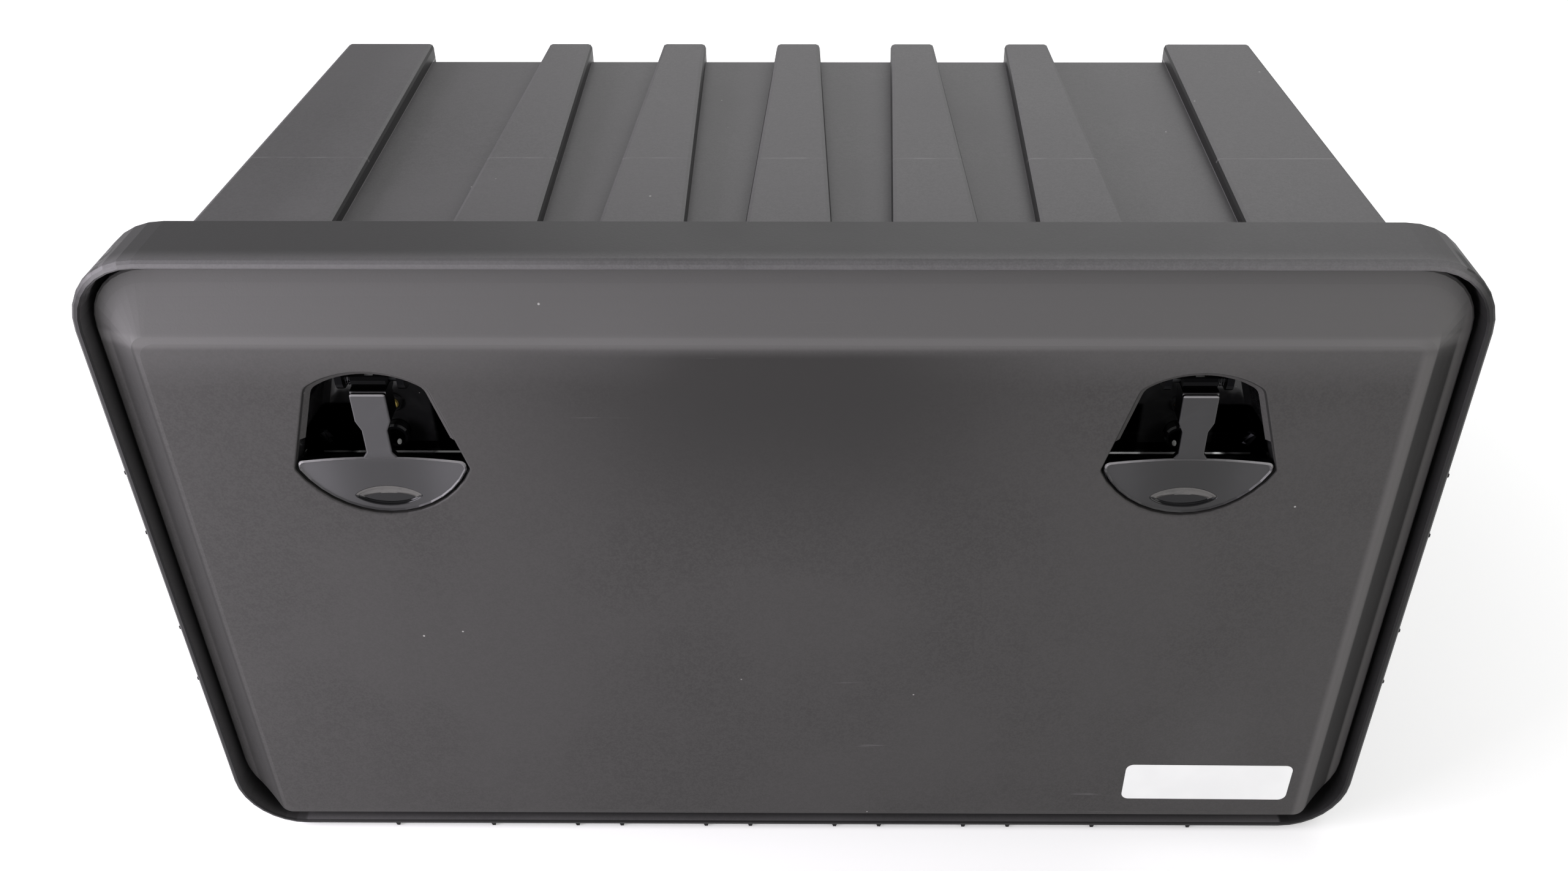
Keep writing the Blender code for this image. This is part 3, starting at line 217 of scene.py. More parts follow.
def sparse_dots(group, vector, scale, disc, patch_scale, patches):
    """Small round dots, kept only in a few patches."""
    cells = group.nodes.new("ShaderNodeTexVoronoi")
    cells.inputs["Scale"].default_value = scale
    group.links.new(vector, cells.inputs["Vector"])
    dots = range_node(group, cells.outputs["Distance"], *disc)
    patch = noise_node(group, vector, patch_scale, detail=0.0)
    return math_node(group, "MULTIPLY", dots, range_node(group, patch, *patches))


def moulded_grain_group():
    """Spark-eroded mould texture: fine pits, faint flow clouds and a few pale specks."""
    group, given, result = new_group("moulded grain",
                                     [("Grain Size", GRAIN_SIZE), ("Cloud Size", CLOUD_SIZE)],
                                     ["Grain", "Clouds", "Specks"])
    vector = given.outputs["Vector"]
    scale = scale_of(group, given, "Grain Size")
    fine = noise_node(group, vector, scale, detail=3.0, roughness=0.6)
    coarse = noise_node(group, vector, math_node(group, "MULTIPLY", scale, COARSE_FACTOR))
    both = math_node(group, "ADD", math_node(group, "MULTIPLY", fine, FINE_SHARE),
                     math_node(group, "MULTIPLY", coarse, COARSE_SHARE))
    clouds = noise_node(group, vector, scale_of(group, given, "Cloud Size"),
                        detail=3.0, roughness=0.55)
    specks = sparse_dots(group, vector, SPECK_SCALE, SPECK_DISC, SPECK_PATCH_SCALE, SPECK_PATCHES)
    group.links.new(both, result.inputs["Grain"])
    group.links.new(clouds, result.inputs["Clouds"])
    group.links.new(specks, result.inputs["Specks"])
    return group


def drawn_lines_group():
    """Fine drawn lines along one direction, for plated steel."""
    group, given, result = new_group("drawn lines", [("Line Size", LINE_SIZE)], ["Lines"])
    stretch = group.nodes.new("ShaderNodeMapping")
    stretch.inputs["Scale"].default_value = LINE_STRETCH
    group.links.new(given.outputs["Vector"], stretch.inputs["Vector"])
    lines = noise_node(group, stretch.outputs["Vector"], scale_of(group, given, "Line Size"),
                       roughness=0.6)
    group.links.new(lines, result.inputs["Lines"])
    return group


def smudge_group():
    """Soft handling marks and dust on glossy faces."""
    group, given, result = new_group("smudges", [("Smudge Size", SMUDGE_SIZE)],
                                     ["Smudges", "Dust"])
    vector = given.outputs["Vector"]
    smudge = noise_node(group, vector, scale_of(group, given, "Smudge Size"),
                        detail=3.0, roughness=0.6, distortion=0.4)
    dust = sparse_dots(group, vector, DUST_SCALE, DUST_DISC, DUST_PATCH_SCALE, DUST_PATCHES)
    group.links.new(range_node(group, smudge, *SMUDGE_STEP), result.inputs["Smudges"])
    group.links.new(dust, result.inputs["Dust"])
    return group


GRAIN = moulded_grain_group()
DRAWN = drawn_lines_group()
SMUDGE = smudge_group()


# Materials

DUST_GREY = (0.35, 0.34, 0.33)
SPECK_GREY = (0.42, 0.41, 0.40)
SCUFF_GREY = (0.24, 0.235, 0.24)
# Near-black colour of painted shade, on the handles' hubs and side faces and in the bowls.
SHADE_BLACK = (0.004, 0.004, 0.0045)


def start_material(name, colour, roughness, metallic=0.0, specular=0.5):
    material = bpy.data.materials.new(name)
    material.use_nodes = True
    material.diffuse_color = (*colour, 1.0)
    tree = material.node_tree
    shader = tree.nodes["Principled BSDF"]
    shader.inputs["Base Color"].default_value = (*colour, 1.0)
    shader.inputs["Roughness"].default_value = roughness
    shader.inputs["Metallic"].default_value = metallic
    shader.inputs["Specular IOR Level"].default_value = specular
    place = tree.nodes.new("ShaderNodeTexCoord").outputs["Object"]
    return material, tree, shader, place


def placed_group(tree, group, place, **values):
    node = tree.nodes.new("ShaderNodeGroup")
    node.node_tree = group
    tree.links.new(place, node.inputs["Vector"])
    for label, value in values.items():
        node.inputs[label.replace("_", " ")].default_value = value
    return node


def bump(tree, shader, height, strength, distance):
    node = tree.nodes.new("ShaderNodeBump")
    node.inputs["Strength"].default_value = strength
    node.inputs["Distance"].default_value = distance
    tree.links.new(height, node.inputs["Height"])
    tree.links.new(node.outputs["Normal"], shader.inputs["Normal"])


# Masks around the latches

RECESS_HALF = 0.056
RECESS_HEIGHTS = heights(0.262, 0.369)
RECESS_SOFT = 0.001
RIM_HEIGHTS = heights(0.286, 0.294)
RIM_DEPTHS = depths(0.0001, 0.0015)
RIM_SOFT = 0.0002
RIM_SLOPE = (-0.97, -0.85)
RIM_SHARE = 0.85


def latch_offset(tree, place):
    """Distance to the side from the middle line of the nearer latch."""
    return math_node(tree, "ABSOLUTE",
                     math_node(tree, "SUBTRACT", side_value(tree, place), LATCH_SPREAD))


def near_latches(tree, place):
    """1 around the two latch recesses."""
    return product(tree, band(tree, side_value(tree, place), LATCH_SPREAD, RECESS_HALF,
                              RECESS_SOFT),
                   inside(tree, axis_value(tree, place, "Z"), *RECESS_HEIGHTS, RECESS_SOFT))


def recess_edges(tree, place):
    """Rounded rims of the two latch recesses, apart from their lower halves. The door paints shade
    on them.
    """
    return product(tree, near_latches(tree, place),
                   range_node(tree, axis_value(tree, place, "Z"), *RIM_HEIGHTS),
                   inside(tree, axis_value(tree, place, "Y"), *RIM_DEPTHS, RIM_SOFT),
                   range_node(tree, normal_value(tree, "Y"), *RIM_SLOPE, to_top=RIM_SHARE))


# Moulded plastic. Here and below, a tone is a factor on the material's colour, and a share says
# how far a tone or a mark shows where its mask is full.

CLOUD_STEP = (0.35, 0.65)
CLOUD_TONES = (0.90, 1.10)
PIT_STEP = (0.38, 0.62)
PIT_SHARE = 0.5
PIT_TONE = 1.35
ROUGH_STEP = (0.3, 0.7)
ROUGH_CHANGE = 0.03
GRAIN_STRENGTH = 0.6
GRAIN_DEPTH = 0.00012


def moulded_plastic(name, colour, roughness, grain_size=GRAIN_SIZE, grain_depth=GRAIN_DEPTH,
                    tones=None, marks=None, specular=0.5):
    """Textured black moulding. tones paints light and shade that follow the form of the piece,
    marks adds pale scuffs.
    """
    material, tree, shader, place = start_material(name, colour, roughness, specular=specular)
    grain = placed_group(tree, GRAIN, place, Grain_Size=grain_size)
    dark, pale = (scaled(colour, tone) for tone in CLOUD_TONES)
    clouds = range_node(tree, grain.outputs["Clouds"], *CLOUD_STEP)
    pits = range_node(tree, grain.outputs["Grain"], *PIT_STEP, to_top=PIT_SHARE)
    base = layered(tree, dark, (clouds, pale), (pits, scaled(colour, PIT_TONE)))
    if tones:
        base = tones(tree, shader, place, base, colour)
    if marks:
        base = mix_colour(tree, marks(tree, place), base, SCUFF_GREY)
    base = mix_colour(tree, grain.outputs["Specks"], base, SPECK_GREY)
    tree.links.new(base, shader.inputs["Base Color"])
    rough = range_node(tree, grain.outputs["Clouds"], *ROUGH_STEP,
                       roughness - ROUGH_CHANGE, roughness + ROUGH_CHANGE)
    tree.links.new(rough, shader.inputs["Roughness"])
    bump(tree, shader, grain.outputs["Grain"], GRAIN_STRENGTH, grain_depth)
    return material


# Painted light and shade on the door, from its crease down and out to its side slopes

# Pale colour of the painted highlights on the door.
DOOR_HIGHLIGHT = (0.112, 0.109, 0.109)
UPWARD_SLOPE = (0.03, 0.20)
GLOW_HEIGHTS = heights(0.350, 0.379)
GLOW_SHARE = 0.4
# Painted shade in the upper middle of the door.
MIDDLE_SHADE_HALF = 0.03
MIDDLE_SHADE_SOFT = 0.16
MIDDLE_SHADE_START = heights(0.22, 0.35)
MIDDLE_SHADE_END = heights(0.380, 0.372)
MIDDLE_SHADE_TONE = 0.66
CREASE_HEIGHT = high(0.3820)
CREASE_HALF = 0.0006
CREASE_SOFT = 0.0055
CREASE_SHARE = 0.45
CREASE_HIGHLIGHT_TONE = 1.5
# Painted highlight in a band along the pad's right side, and in the strip beyond it at the far
# right.
RIGHT_HIGHLIGHT_PLACE = 0.3440
RIGHT_HIGHLIGHT_HALF = 0.0015
RIGHT_HIGHLIGHT_SOFT = 0.0045
RIGHT_HIGHLIGHT_END = heights(0.384, 0.372)
RIGHT_HIGHLIGHT_SHARE = 0.8
RIGHT_HIGHLIGHT_TONE = 2.2
OUTER_PLACE = (0.3595, 0.3615)
OUTER_SHARE = 0.75
# Painted shade on the steep side slopes of the pad, stronger on the right.
LEFT_SLOPE = (-0.3592, -0.3468)
LEFT_SLOPE_SOFT = 0.0015
RIGHT_SLOPE = (0.3488, 0.3592)
RIGHT_SLOPE_SOFT = 0.0012
SLOPE_END = heights(0.392, 0.368)
SLOPE_RUN = (-0.2, 0.2)
SLOPE_SHARES = (0.6, 0.85)
SLOPE_SHADE_TONE = 0.22
# Painted shade on the rims of the latch recesses.
RIM_SHADE_TONE = 0.2


def door_tones(tree, _, place, base, colour):
    """Painted highlights on a glow under the crease, on the crease, on the upward slopes and along
    the right side of the pad; painted shade in the upper middle, on the side slopes and on the
    recess rims.

    The painted highlight on the upward slopes leaves out the rims of the latch recesses.
    """
    across = axis_value(tree, place, "X")
    up = axis_value(tree, place, "Z")
    # Painted highlight: a pale glow on the door face just under the crease.
    glow = range_node(tree, up, *GLOW_HEIGHTS, to_top=GLOW_SHARE)
    # Painted shade: the upper middle of the door is darker.
    middle_shade = product(tree, band(tree, across, 0.0, MIDDLE_SHADE_HALF, MIDDLE_SHADE_SOFT),
                    range_node(tree, up, *MIDDLE_SHADE_START), range_node(tree, up, *MIDDLE_SHADE_END))
    # Painted highlight on the slopes that face upwards, apart from the rims of the latch recesses.
    upward_highlight = product(tree, range_node(tree, normal_value(tree, "Z"), *UPWARD_SLOPE),
                    math_node(tree, "SUBTRACT", 1.0, near_latches(tree, place)))
    # Painted highlight along the crease.
    crease = range_node(tree, band(tree, up, CREASE_HEIGHT, CREASE_HALF, CREASE_SOFT), 0.0, 1.0,
                        to_top=CREASE_SHARE)
    # Painted highlight along the pad's right side and in the strip at the far right.
    right_edge_highlight = product(tree, band(tree, across, RIGHT_HIGHLIGHT_PLACE, RIGHT_HIGHLIGHT_HALF, RIGHT_HIGHLIGHT_SOFT),
                     range_node(tree, up, *RIGHT_HIGHLIGHT_END, to_top=RIGHT_HIGHLIGHT_SHARE))
    outer = range_node(tree, across, *OUTER_PLACE, to_top=OUTER_SHARE)
    # Painted shade on the steep side slopes of the pad.
    steep = largest(tree, inside(tree, across, *LEFT_SLOPE, LEFT_SLOPE_SOFT),
                    inside(tree, across, *RIGHT_SLOPE, RIGHT_SLOPE_SOFT))
    slopes = product(tree, steep, range_node(tree, up, *SLOPE_END),
                     range_node(tree, across, *SLOPE_RUN, *SLOPE_SHARES))
    return layered(tree, base, (glow, DOOR_HIGHLIGHT), (middle_shade, scaled(colour, MIDDLE_SHADE_TONE)),
                   (upward_highlight, DOOR_HIGHLIGHT), (crease, scaled(DOOR_HIGHLIGHT, CREASE_HIGHLIGHT_TONE)),
                   (largest(tree, right_edge_highlight, outer), scaled(colour, RIGHT_HIGHLIGHT_TONE)),
                   (slopes, scaled(colour, SLOPE_SHADE_TONE)),
                   (recess_edges(tree, place), scaled(colour, RIM_SHADE_TONE)))


# Painted light and shade on the tub: its ribs, then its collar

# Painted shade on the steep walls of the ribs.
RIB_WALL_SLOPE = (0.45, 0.75)
RIB_WALL_LIMIT = (0.333, 0.329)
RIB_WALL_SHADE_TONE = 0.16
PANEL_RUN = depths(0.047, 0.438)
PANEL_HEIGHTS = heights(0.381, 0.378)
# Painted highlight line at the feet of the rib walls.
FOOT_HALF = 0.0005
FOOT_SOFT = 0.0004
FOOT_HIGHLIGHT_TONE = 2.0
COLLAR_FRONT = depths(0.030, 0.020)
# Painted shade on the collar's front edge, darkened further by a metallic share.
LIP_TOP = heights(0.420, 0.390)
LIP_SIDE = (0.345, 0.368)
LIP_SLOPE = (-0.35, -0.60)
LIP_SHARE = 0.92
LIP_SHADE_METALLIC = 0.8
LIP_SHADE_TONE = 0.1
# Painted shade on the inner walls of the collar, stronger on the right.
REBATE_SLOPE = (-0.70, -0.45)
REBATE_RUN = (-0.30, 0.30)
REBATE_SHARES = (0.55, 0.95)
REBATE_SIDE = (0.3712, 0.3706)
REBATE_HEIGHTS = heights(0.0052, 0.4250)
REBATE_SOFT = 0.0003
REBATE_SHADE_TONE = 0.08
# Painted shade on the collar, most of all in its left half, and on the left end of the tub top
# behind it.
COLLAR_END = depths(0.051, 0.046)
COLLAR_START = depths(0.000, 0.014)
COLLAR_RUN = (0.42, 0.02)
COLLAR_SHARES = (0.47, 0.87)
SLAB_SIDE = (-0.29, -0.325)
SLAB_SHARE = 0.2
SLAB_START = depths(0.051, 0.060)
COLLAR_SHADE_TONE = 0.35


def shaded_rib_walls(tree, place):
    """Steep walls of the ribs, which get painted shade."""
    steepness = math_node(tree, "ABSOLUTE", normal_value(tree, "X"))
    return product(tree, range_node(tree, steepness, *RIB_WALL_SLOPE),
                   range_node(tree, side_value(tree, place), *RIB_WALL_LIMIT))


def rib_foot_highlights(tree, place, walls):
    """Thin painted highlight line where the upper rib walls meet the sunk panels."""
    panel = range_node(tree, axis_value(tree, place, "Y"), *PANEL_RUN, *PANEL_HEIGHTS,
                       smooth=False)
    above = math_node(tree, "SUBTRACT", axis_value(tree, place, "Z"), panel)
    return math_node(tree, "MULTIPLY", band(tree, above, 0.0, FOOT_HALF, FOOT_SOFT), walls)


def lower_lip(tree, place):
    """Front edge of the collar, apart from its upper run; it gets painted shade."""
    turned = largest(tree, range_node(tree, axis_value(tree, place, "Z"), *LIP_TOP),
                     range_node(tree, side_value(tree, place), *LIP_SIDE))
    return product(tree, range_node(tree, turned, 0.0, 1.0, to_top=LIP_SHARE, smooth=False),
                   range_node(tree, axis_value(tree, place, "Y"), *COLLAR_FRONT),
                   range_node(tree, normal_value(tree, "Y"), *LIP_SLOPE))


def rebate(tree, place):
    """Inner walls of the collar, around the edge of the door; they get painted shade."""
    return product(tree, range_node(tree, axis_value(tree, place, "Y"), *COLLAR_FRONT),
                   range_node(tree, normal_value(tree, "Y"), *REBATE_SLOPE),
                   range_node(tree, axis_value(tree, place, "X"), *REBATE_RUN, *REBATE_SHARES),
                   range_node(tree, side_value(tree, place), *REBATE_SIDE),
                   inside(tree, axis_value(tree, place, "Z"), *REBATE_HEIGHTS, REBATE_SOFT))


def collar_shade(tree, place):
    """Painted shade: the collar is darker than the ribs behind it, most of all in its left half,
    and the left end of the tub top behind it is a little darker too.
    """
    across = axis_value(tree, place, "X")
    along = axis_value(tree, place, "Y")
    collar = product(tree, range_node(tree, along, *COLLAR_END),
                     range_node(tree, across, *COLLAR_RUN, *COLLAR_SHARES),
                     range_node(tree, along, *COLLAR_START))
    slab = product(tree, range_node(tree, across, *SLAB_SIDE, to_top=SLAB_SHARE),
                   range_node(tree, along, *SLAB_START))
    return largest(tree, collar, slab)


def tub_tones(tree, shader, place, base, colour):
    """Painted shade on the rib walls and on the collar, its front edge and its inner side, and a
    painted highlight at the feet of the rib walls.
    """
    walls = shaded_rib_walls(tree, place)
    lip = lower_lip(tree, place)
    # A metallic share darkens the painted shade on the front edge further.
    tree.links.new(math_node(tree, "MULTIPLY", lip, LIP_SHADE_METALLIC), shader.inputs["Metallic"])
    return layered(tree, base, (collar_shade(tree, place), scaled(colour, COLLAR_SHADE_TONE)),
                   (walls, scaled(colour, RIB_WALL_SHADE_TONE)),
                   (rib_foot_highlights(tree, place, walls), scaled(colour, FOOT_HIGHLIGHT_TONE)),
                   (lip, scaled(colour, LIP_SHADE_TONE)),
                   (rebate(tree, place), scaled(colour, REBATE_SHADE_TONE)))


# Marks. Scuffs and lines are a centre, half a width and a soft width.

WOBBLE_SCALE = 14.0
WOBBLE = 0.002
WITNESS_LINE = (deep(0.2275) + WOBBLE / 2, 0.0002, 0.0013)
WITNESS_HEIGHTS = heights(0.3855, 0.3865)
WITNESS_PATCH_SCALE = 42.0
WITNESS_PATCHES = (0.35, 0.6)
WITNESS_SHARES = (0.10, 0.5)
SCUFF = {"X": (-0.360, 0.004, 0.008), "Z": (high(0.416), 0.006, 0.010),
         "Y": (deep(0.018), 0.008, 0.012)}
SCUFF_SCALE = 260.0
SCUFF_STEP = (0.48, 0.62)
SCUFF_SHARE = 0.55
SCRATCH_TURN = (0.0, radians(-22), 0.0)
SCRATCH_STRETCH = (2.2, 1.0, 42.0)
SCRATCH_SCALE = 6.0
SCRATCH_STEP = (0.70, 0.74)
SCRATCH_PATCH_SCALE = 11.0
SCRATCH_PATCHES = (0.62, 0.72)
SCRATCH_SHARE = 0.22
RUB_SCALE = 5.0
RUB_STEP = (0.66, 0.78)
RUB_SHARE = 0.06


def tub_marks(tree, place):
    """Witness line across the rib tops and a scuff on the collar's upper left corner."""
    wobble = math_node(tree, "MULTIPLY", noise_node(tree, place, WOBBLE_SCALE), WOBBLE)
    shifted = math_node(tree, "ADD", axis_value(tree, place, "Y"), wobble)
    patchy = range_node(tree, noise_node(tree, place, WITNESS_PATCH_SCALE), *WITNESS_PATCHES,
                        *WITNESS_SHARES)
    line = product(tree, band(tree, shifted, *WITNESS_LINE),
                   range_node(tree, axis_value(tree, place, "Z"), *WITNESS_HEIGHTS), patchy)
    torn = range_node(tree, noise_node(tree, place, SCUFF_SCALE, detail=3.0), *SCUFF_STEP,
                      to_top=SCUFF_SHARE)
    scuff = product(tree, *(band(tree, axis_value(tree, place, axis), *extent)
                            for axis, extent in SCUFF.items()), torn)
    return largest(tree, line, scuff)


def door_marks(tree, place):
    """A few long faint scratches and pale rubs on the door."""
    stretch = tree.nodes.new("ShaderNodeMapping")
    stretch.inputs["Rotation"].default_value = SCRATCH_TURN
    stretch.inputs["Scale"].default_value = SCRATCH_STRETCH
    tree.links.new(place, stretch.inputs["Vector"])
    scratch = range_node(tree, noise_node(tree, stretch.outputs["Vector"], SCRATCH_SCALE),
                         *SCRATCH_STEP)
    sparse = range_node(tree, noise_node(tree, place, SCRATCH_PATCH_SCALE, detail=1.0),
                        *SCRATCH_PATCHES, to_top=SCRATCH_SHARE)
    rub = range_node(tree, noise_node(tree, place, RUB_SCALE, detail=1.0, roughness=0.4),
                     *RUB_STEP, to_top=RUB_SHARE)
    return largest(tree, math_node(tree, "MULTIPLY", scratch, sparse), rub)


# Handles. Edges and faces are told apart by how far they face outwards.

SATIN_SPECULAR = 0.35
HUB_HEIGHTS = heights(0.3493, 0.3499)
HUB_EDGE_FADE = (0.5, 0.1)
SIDE_FACES = (-0.40, -0.25)
FRONT_FACES = (-0.25, -0.40)
ROUND_EDGES = (-0.84, -0.70)
ROUND_EDGES_SOFT = 0.05
STEM_EDGE = heights(0.3482, 0.3490)
STEM_EDGE_SOFT = 0.0003
PADDLE_HEIGHTS = heights(0.312, 0.302)
# Painted shade in the middle of each paddle, and a painted highlight towards its ends.
SHADED_REACH = (0.034, 0.006)
SHADED_TONE = 0.58
END_HIGHLIGHT_REACH = (0.020, 0.044)
END_HIGHLIGHT_TONE = 1.5
HANDLE_SMUDGE_TONE = 1.2
# Painted shade on the right handle.
RIGHT_HANDLE = (-0.1, 0.1)
RIGHT_SHADE_SHARE = 0.52
RIGHT_HANDLE_SHADE = (0.004, 0.004, 0.0035)
# Metallic share and roughness that darken the painted shade on the handles further.
SHADE_METALLIC = 0.9
SHADE_ROUGHNESS = 0.30
# Painted highlights on the handles' rounded rims and on the top of the stem, where they face
# upwards, fading lower down.
EDGE_LIGHT = (-0.3, 0.5, 0.2, 1.0)
EDGE_FADE = (*heights(0.288, 0.303), 0.25, 1.0)
EDGE_HIGHLIGHT_GREY = (0.26, 0.255, 0.26)


def handle_plastic(colour, roughness):
    """Satin paddle and stem, with painted highlights on the rounded rims, along the top of the stem
    and towards the paddle's ends, and painted shade in the paddle's middle, on the right handle, on
    the side faces and on the hub.
    """
    material, tree, shader, place = start_material("handle_black", colour, roughness,
                                                   specular=SATIN_SPECULAR)
    smudges = placed_group(tree, SMUDGE, place)
    outward = normal_value(tree, "Y")
    up = axis_value(tree, place, "Z")
    sideways = latch_offset(tree, place)
    hub = range_node(tree, up, *HUB_HEIGHTS)
    # Painted shade on the hub and on the faces that look sideways.
    shaded_faces = largest(tree, hub, range_node(tree, outward, *SIDE_FACES))
    paddle = range_node(tree, up, *PADDLE_HEIGHTS)
    # Painted shade in the middle of each paddle, painted highlight towards its ends.
    shaded = product(tree, range_node(tree, sideways, *SHADED_REACH), paddle)
    paddle_end_highlight = product(tree, range_node(tree, sideways, *END_HIGHLIGHT_REACH), paddle)
    # Painted shade: the right handle is darker.
    right = range_node(tree, axis_value(tree, place, "X"), *RIGHT_HANDLE,
                       to_top=RIGHT_SHADE_SHARE)
    # Painted highlights on the rounded rims and along the top of the stem.
    round_edges = product(tree, inside(tree, outward, *ROUND_EDGES, ROUND_EDGES_SOFT),
                          range_node(tree, hub, *HUB_EDGE_FADE))
    stem_edge = product(tree, inside(tree, up, *STEM_EDGE, STEM_EDGE_SOFT),
                        range_node(tree, outward, *FRONT_FACES))
    edges = product(tree, largest(tree, round_edges, stem_edge),
                    range_node(tree, normal_value(tree, "Z"), *EDGE_LIGHT),
                    range_node(tree, up, *EDGE_FADE))
    base = layered(tree, colour,
                   (smudges.outputs["Smudges"], scaled(colour, HANDLE_SMUDGE_TONE)),
                   (shaded, scaled(colour, SHADED_TONE)), (paddle_end_highlight, scaled(colour, END_HIGHLIGHT_TONE)),
                   (right, RIGHT_HANDLE_SHADE), (shaded_faces, SHADE_BLACK), (edges, EDGE_HIGHLIGHT_GREY))
    tree.links.new(base, shader.inputs["Base Color"])
    tree.links.new(math_node(tree, "MULTIPLY", shaded_faces, SHADE_METALLIC), shader.inputs["Metallic"])
    rough = range_node(tree, shaded_faces, 0.0, 1.0, roughness, SHADE_ROUGHNESS)
    tree.links.new(rough, shader.inputs["Roughness"])
    return material


# Finger notches

NOTCH_BLACK = (0.02, 0.02, 0.022)
NOTCH_ROUGHNESS = 0.12
NOTCH_SMUDGE_SIZE = 0.008
# Painted reflection of the ground on the faces of the notch that look down, plain or smudged.
DOWNWARD_SLOPE = (-0.55, -0.12)
DOWNWARD_SOFT = 0.06
NOTCH_REFLECTION = (0.080, 0.076, 0.072)
NOTCH_SMUDGED_REFLECTION = (0.055, 0.053, 0.05)
NOTCH_DARK = (0.010, 0.010, 0.011)
NOTCH_METALLIC = 0.55


def notch_gloss():
    """Polished dish of the finger notch: a painted reflection of the ground on the faces that look
    down, dark elsewhere.
    """
    material, tree, shader, place = start_material("notch_gloss", NOTCH_BLACK, NOTCH_ROUGHNESS)
    smudges = placed_group(tree, SMUDGE, place, Smudge_Size=NOTCH_SMUDGE_SIZE)
    downward = inside(tree, normal_value(tree, "Z"), *DOWNWARD_SLOPE, DOWNWARD_SOFT)
    pale = mix_colour(tree, smudges.outputs["Smudges"], NOTCH_REFLECTION, NOTCH_SMUDGED_REFLECTION)
    tree.links.new(mix_colour(tree, downward, NOTCH_DARK, pale), shader.inputs["Base Color"])
    tree.links.new(range_node(tree, downward, 0.0, 1.0, NOTCH_METALLIC, 0.0),
                   shader.inputs["Metallic"])
    return material


# Latch bowls

GLOSS_BLACK = (0.0065, 0.0065, 0.007)
GLOSS_ROUGHNESS = 0.12
GLOSS_SPECULAR = 0.45
BOWL_ROUGHNESS = (0.10, 0.22)
BOWL_CLEAN = (0.018, 0.018, 0.019)
BOWL_SMUDGED = (0.026, 0.026, 0.027)
# Painted shade on the lugs, on the faces that look straight up and in the lower corners of the
# bowls.
LUG_HEIGHTS = heights(0.338, 0.339)
LUG_DEPTHS = depths(0.004, 0.026)
LUG_SOFT = 0.001
LUG_ROUGHNESS = 0.3
LEVEL_FACES = (0.95, 0.98)
CORNER_REACH = (0.020, 0.023)
CORNER_HEIGHTS = heights(0.284, 0.318)
CORNER_SOFT = 0.002
CORNER_DEPTHS = depths(0.012, 0.016)
# Painted highlight along the edge of the step in the bowl.
STEP_HEIGHTS = heights(0.2912, 0.2932)
STEP_SOFT = 0.0002
STEP_SLOPE = (0.4, 0.95)
STEP_SLOPE_SOFT = 0.1
STEP_DEPTHS = depths(0.033, 0.031)
STEP_HIGHLIGHT_GREY = (0.24, 0.24, 0.24)


def bowl_plastic():
    """Glossy bowl with dust specks, painted shade on its lugs, level faces and lower corners, and a
    painted highlight along the step in it.
    """
    material, tree, shader, place = start_material("bowl_black", GLOSS_BLACK, GLOSS_ROUGHNESS,
                                                   specular=GLOSS_SPECULAR)
    smudges = placed_group(tree, SMUDGE, place)
    along = axis_value(tree, place, "Y")
    up = axis_value(tree, place, "Z")
    upward = normal_value(tree, "Z")
    lugs = product(tree, range_node(tree, up, *LUG_HEIGHTS),
                   inside(tree, along, *LUG_DEPTHS, LUG_SOFT))
    corners = product(tree, range_node(tree, latch_offset(tree, place), *CORNER_REACH),
                      inside(tree, up, *CORNER_HEIGHTS, CORNER_SOFT),
                      range_node(tree, along, *CORNER_DEPTHS))
    # Painted shade, darkened further by a full metallic share.
    bowl_shade = largest(tree, lugs, range_node(tree, upward, *LEVEL_FACES), corners)
    # Painted highlight along the edge of the step.
    line = product(tree, inside(tree, up, *STEP_HEIGHTS, STEP_SOFT),
                   inside(tree, upward, *STEP_SLOPE, STEP_SLOPE_SOFT),
                   range_node(tree, along, *STEP_DEPTHS))
    base = layered(tree, BOWL_CLEAN, (smudges.outputs["Smudges"], BOWL_SMUDGED),
                   (smudges.outputs["Dust"], DUST_GREY), (bowl_shade, SHADE_BLACK),
                   (line, STEP_HIGHLIGHT_GREY))
    tree.links.new(base, shader.inputs["Base Color"])
    tree.links.new(bowl_shade, shader.inputs["Metallic"])
    rough = range_node(tree, smudges.outputs["Smudges"], 0.0, 1.0, *BOWL_ROUGHNESS)
    tree.links.new(mix_value(tree, lugs, rough, LUG_ROUGHNESS), shader.inputs["Roughness"])
    return material


# Metals and paper

POLISHED_SMUDGE_SIZE = 0.004
POLISHED_SMUDGE_TONE = 0.75
PLATED_SMUDGE_SIZE = 0.006
PLATED_SMUDGE_SHARE = 0.4
PLATED_SMUDGE_TONE = 0.6
PLATED_LINE_TONE = 0.85
PLATED_LINE_STEP = (0.3, 0.7)
PLATED_ROUGH_CHANGE = (-0.06, 0.08)
PLATED_STRENGTH = 0.25
FINE_DEPTH = 0.00002
PAPER_WHITE = (0.94, 0.95, 0.94)
PAPER_ROUGHNESS = 0.45
PAPER_CLOUD_SCALE = 30.0
PAPER_CLOUD_STEP = (0.3, 0.7)
PAPER_TONES = ((0.92, 0.93, 0.92), (0.96, 0.97, 0.96))
PAPER_FIBRE_SCALE = 900.0
PAPER_STRENGTH = 0.15


def polished_metal(name, colour, roughness, metallic=1.0):
    """Bright or dark polished metal with faint smudges."""
    material, tree, shader, place = start_material(name, colour, roughness, metallic)
    smudges = placed_group(tree, SMUDGE, place, Smudge_Size=POLISHED_SMUDGE_SIZE)
    base = mix_colour(tree, smudges.outputs["Smudges"], colour,
                      scaled(colour, POLISHED_SMUDGE_TONE))
    tree.links.new(base, shader.inputs["Base Color"])
    return material


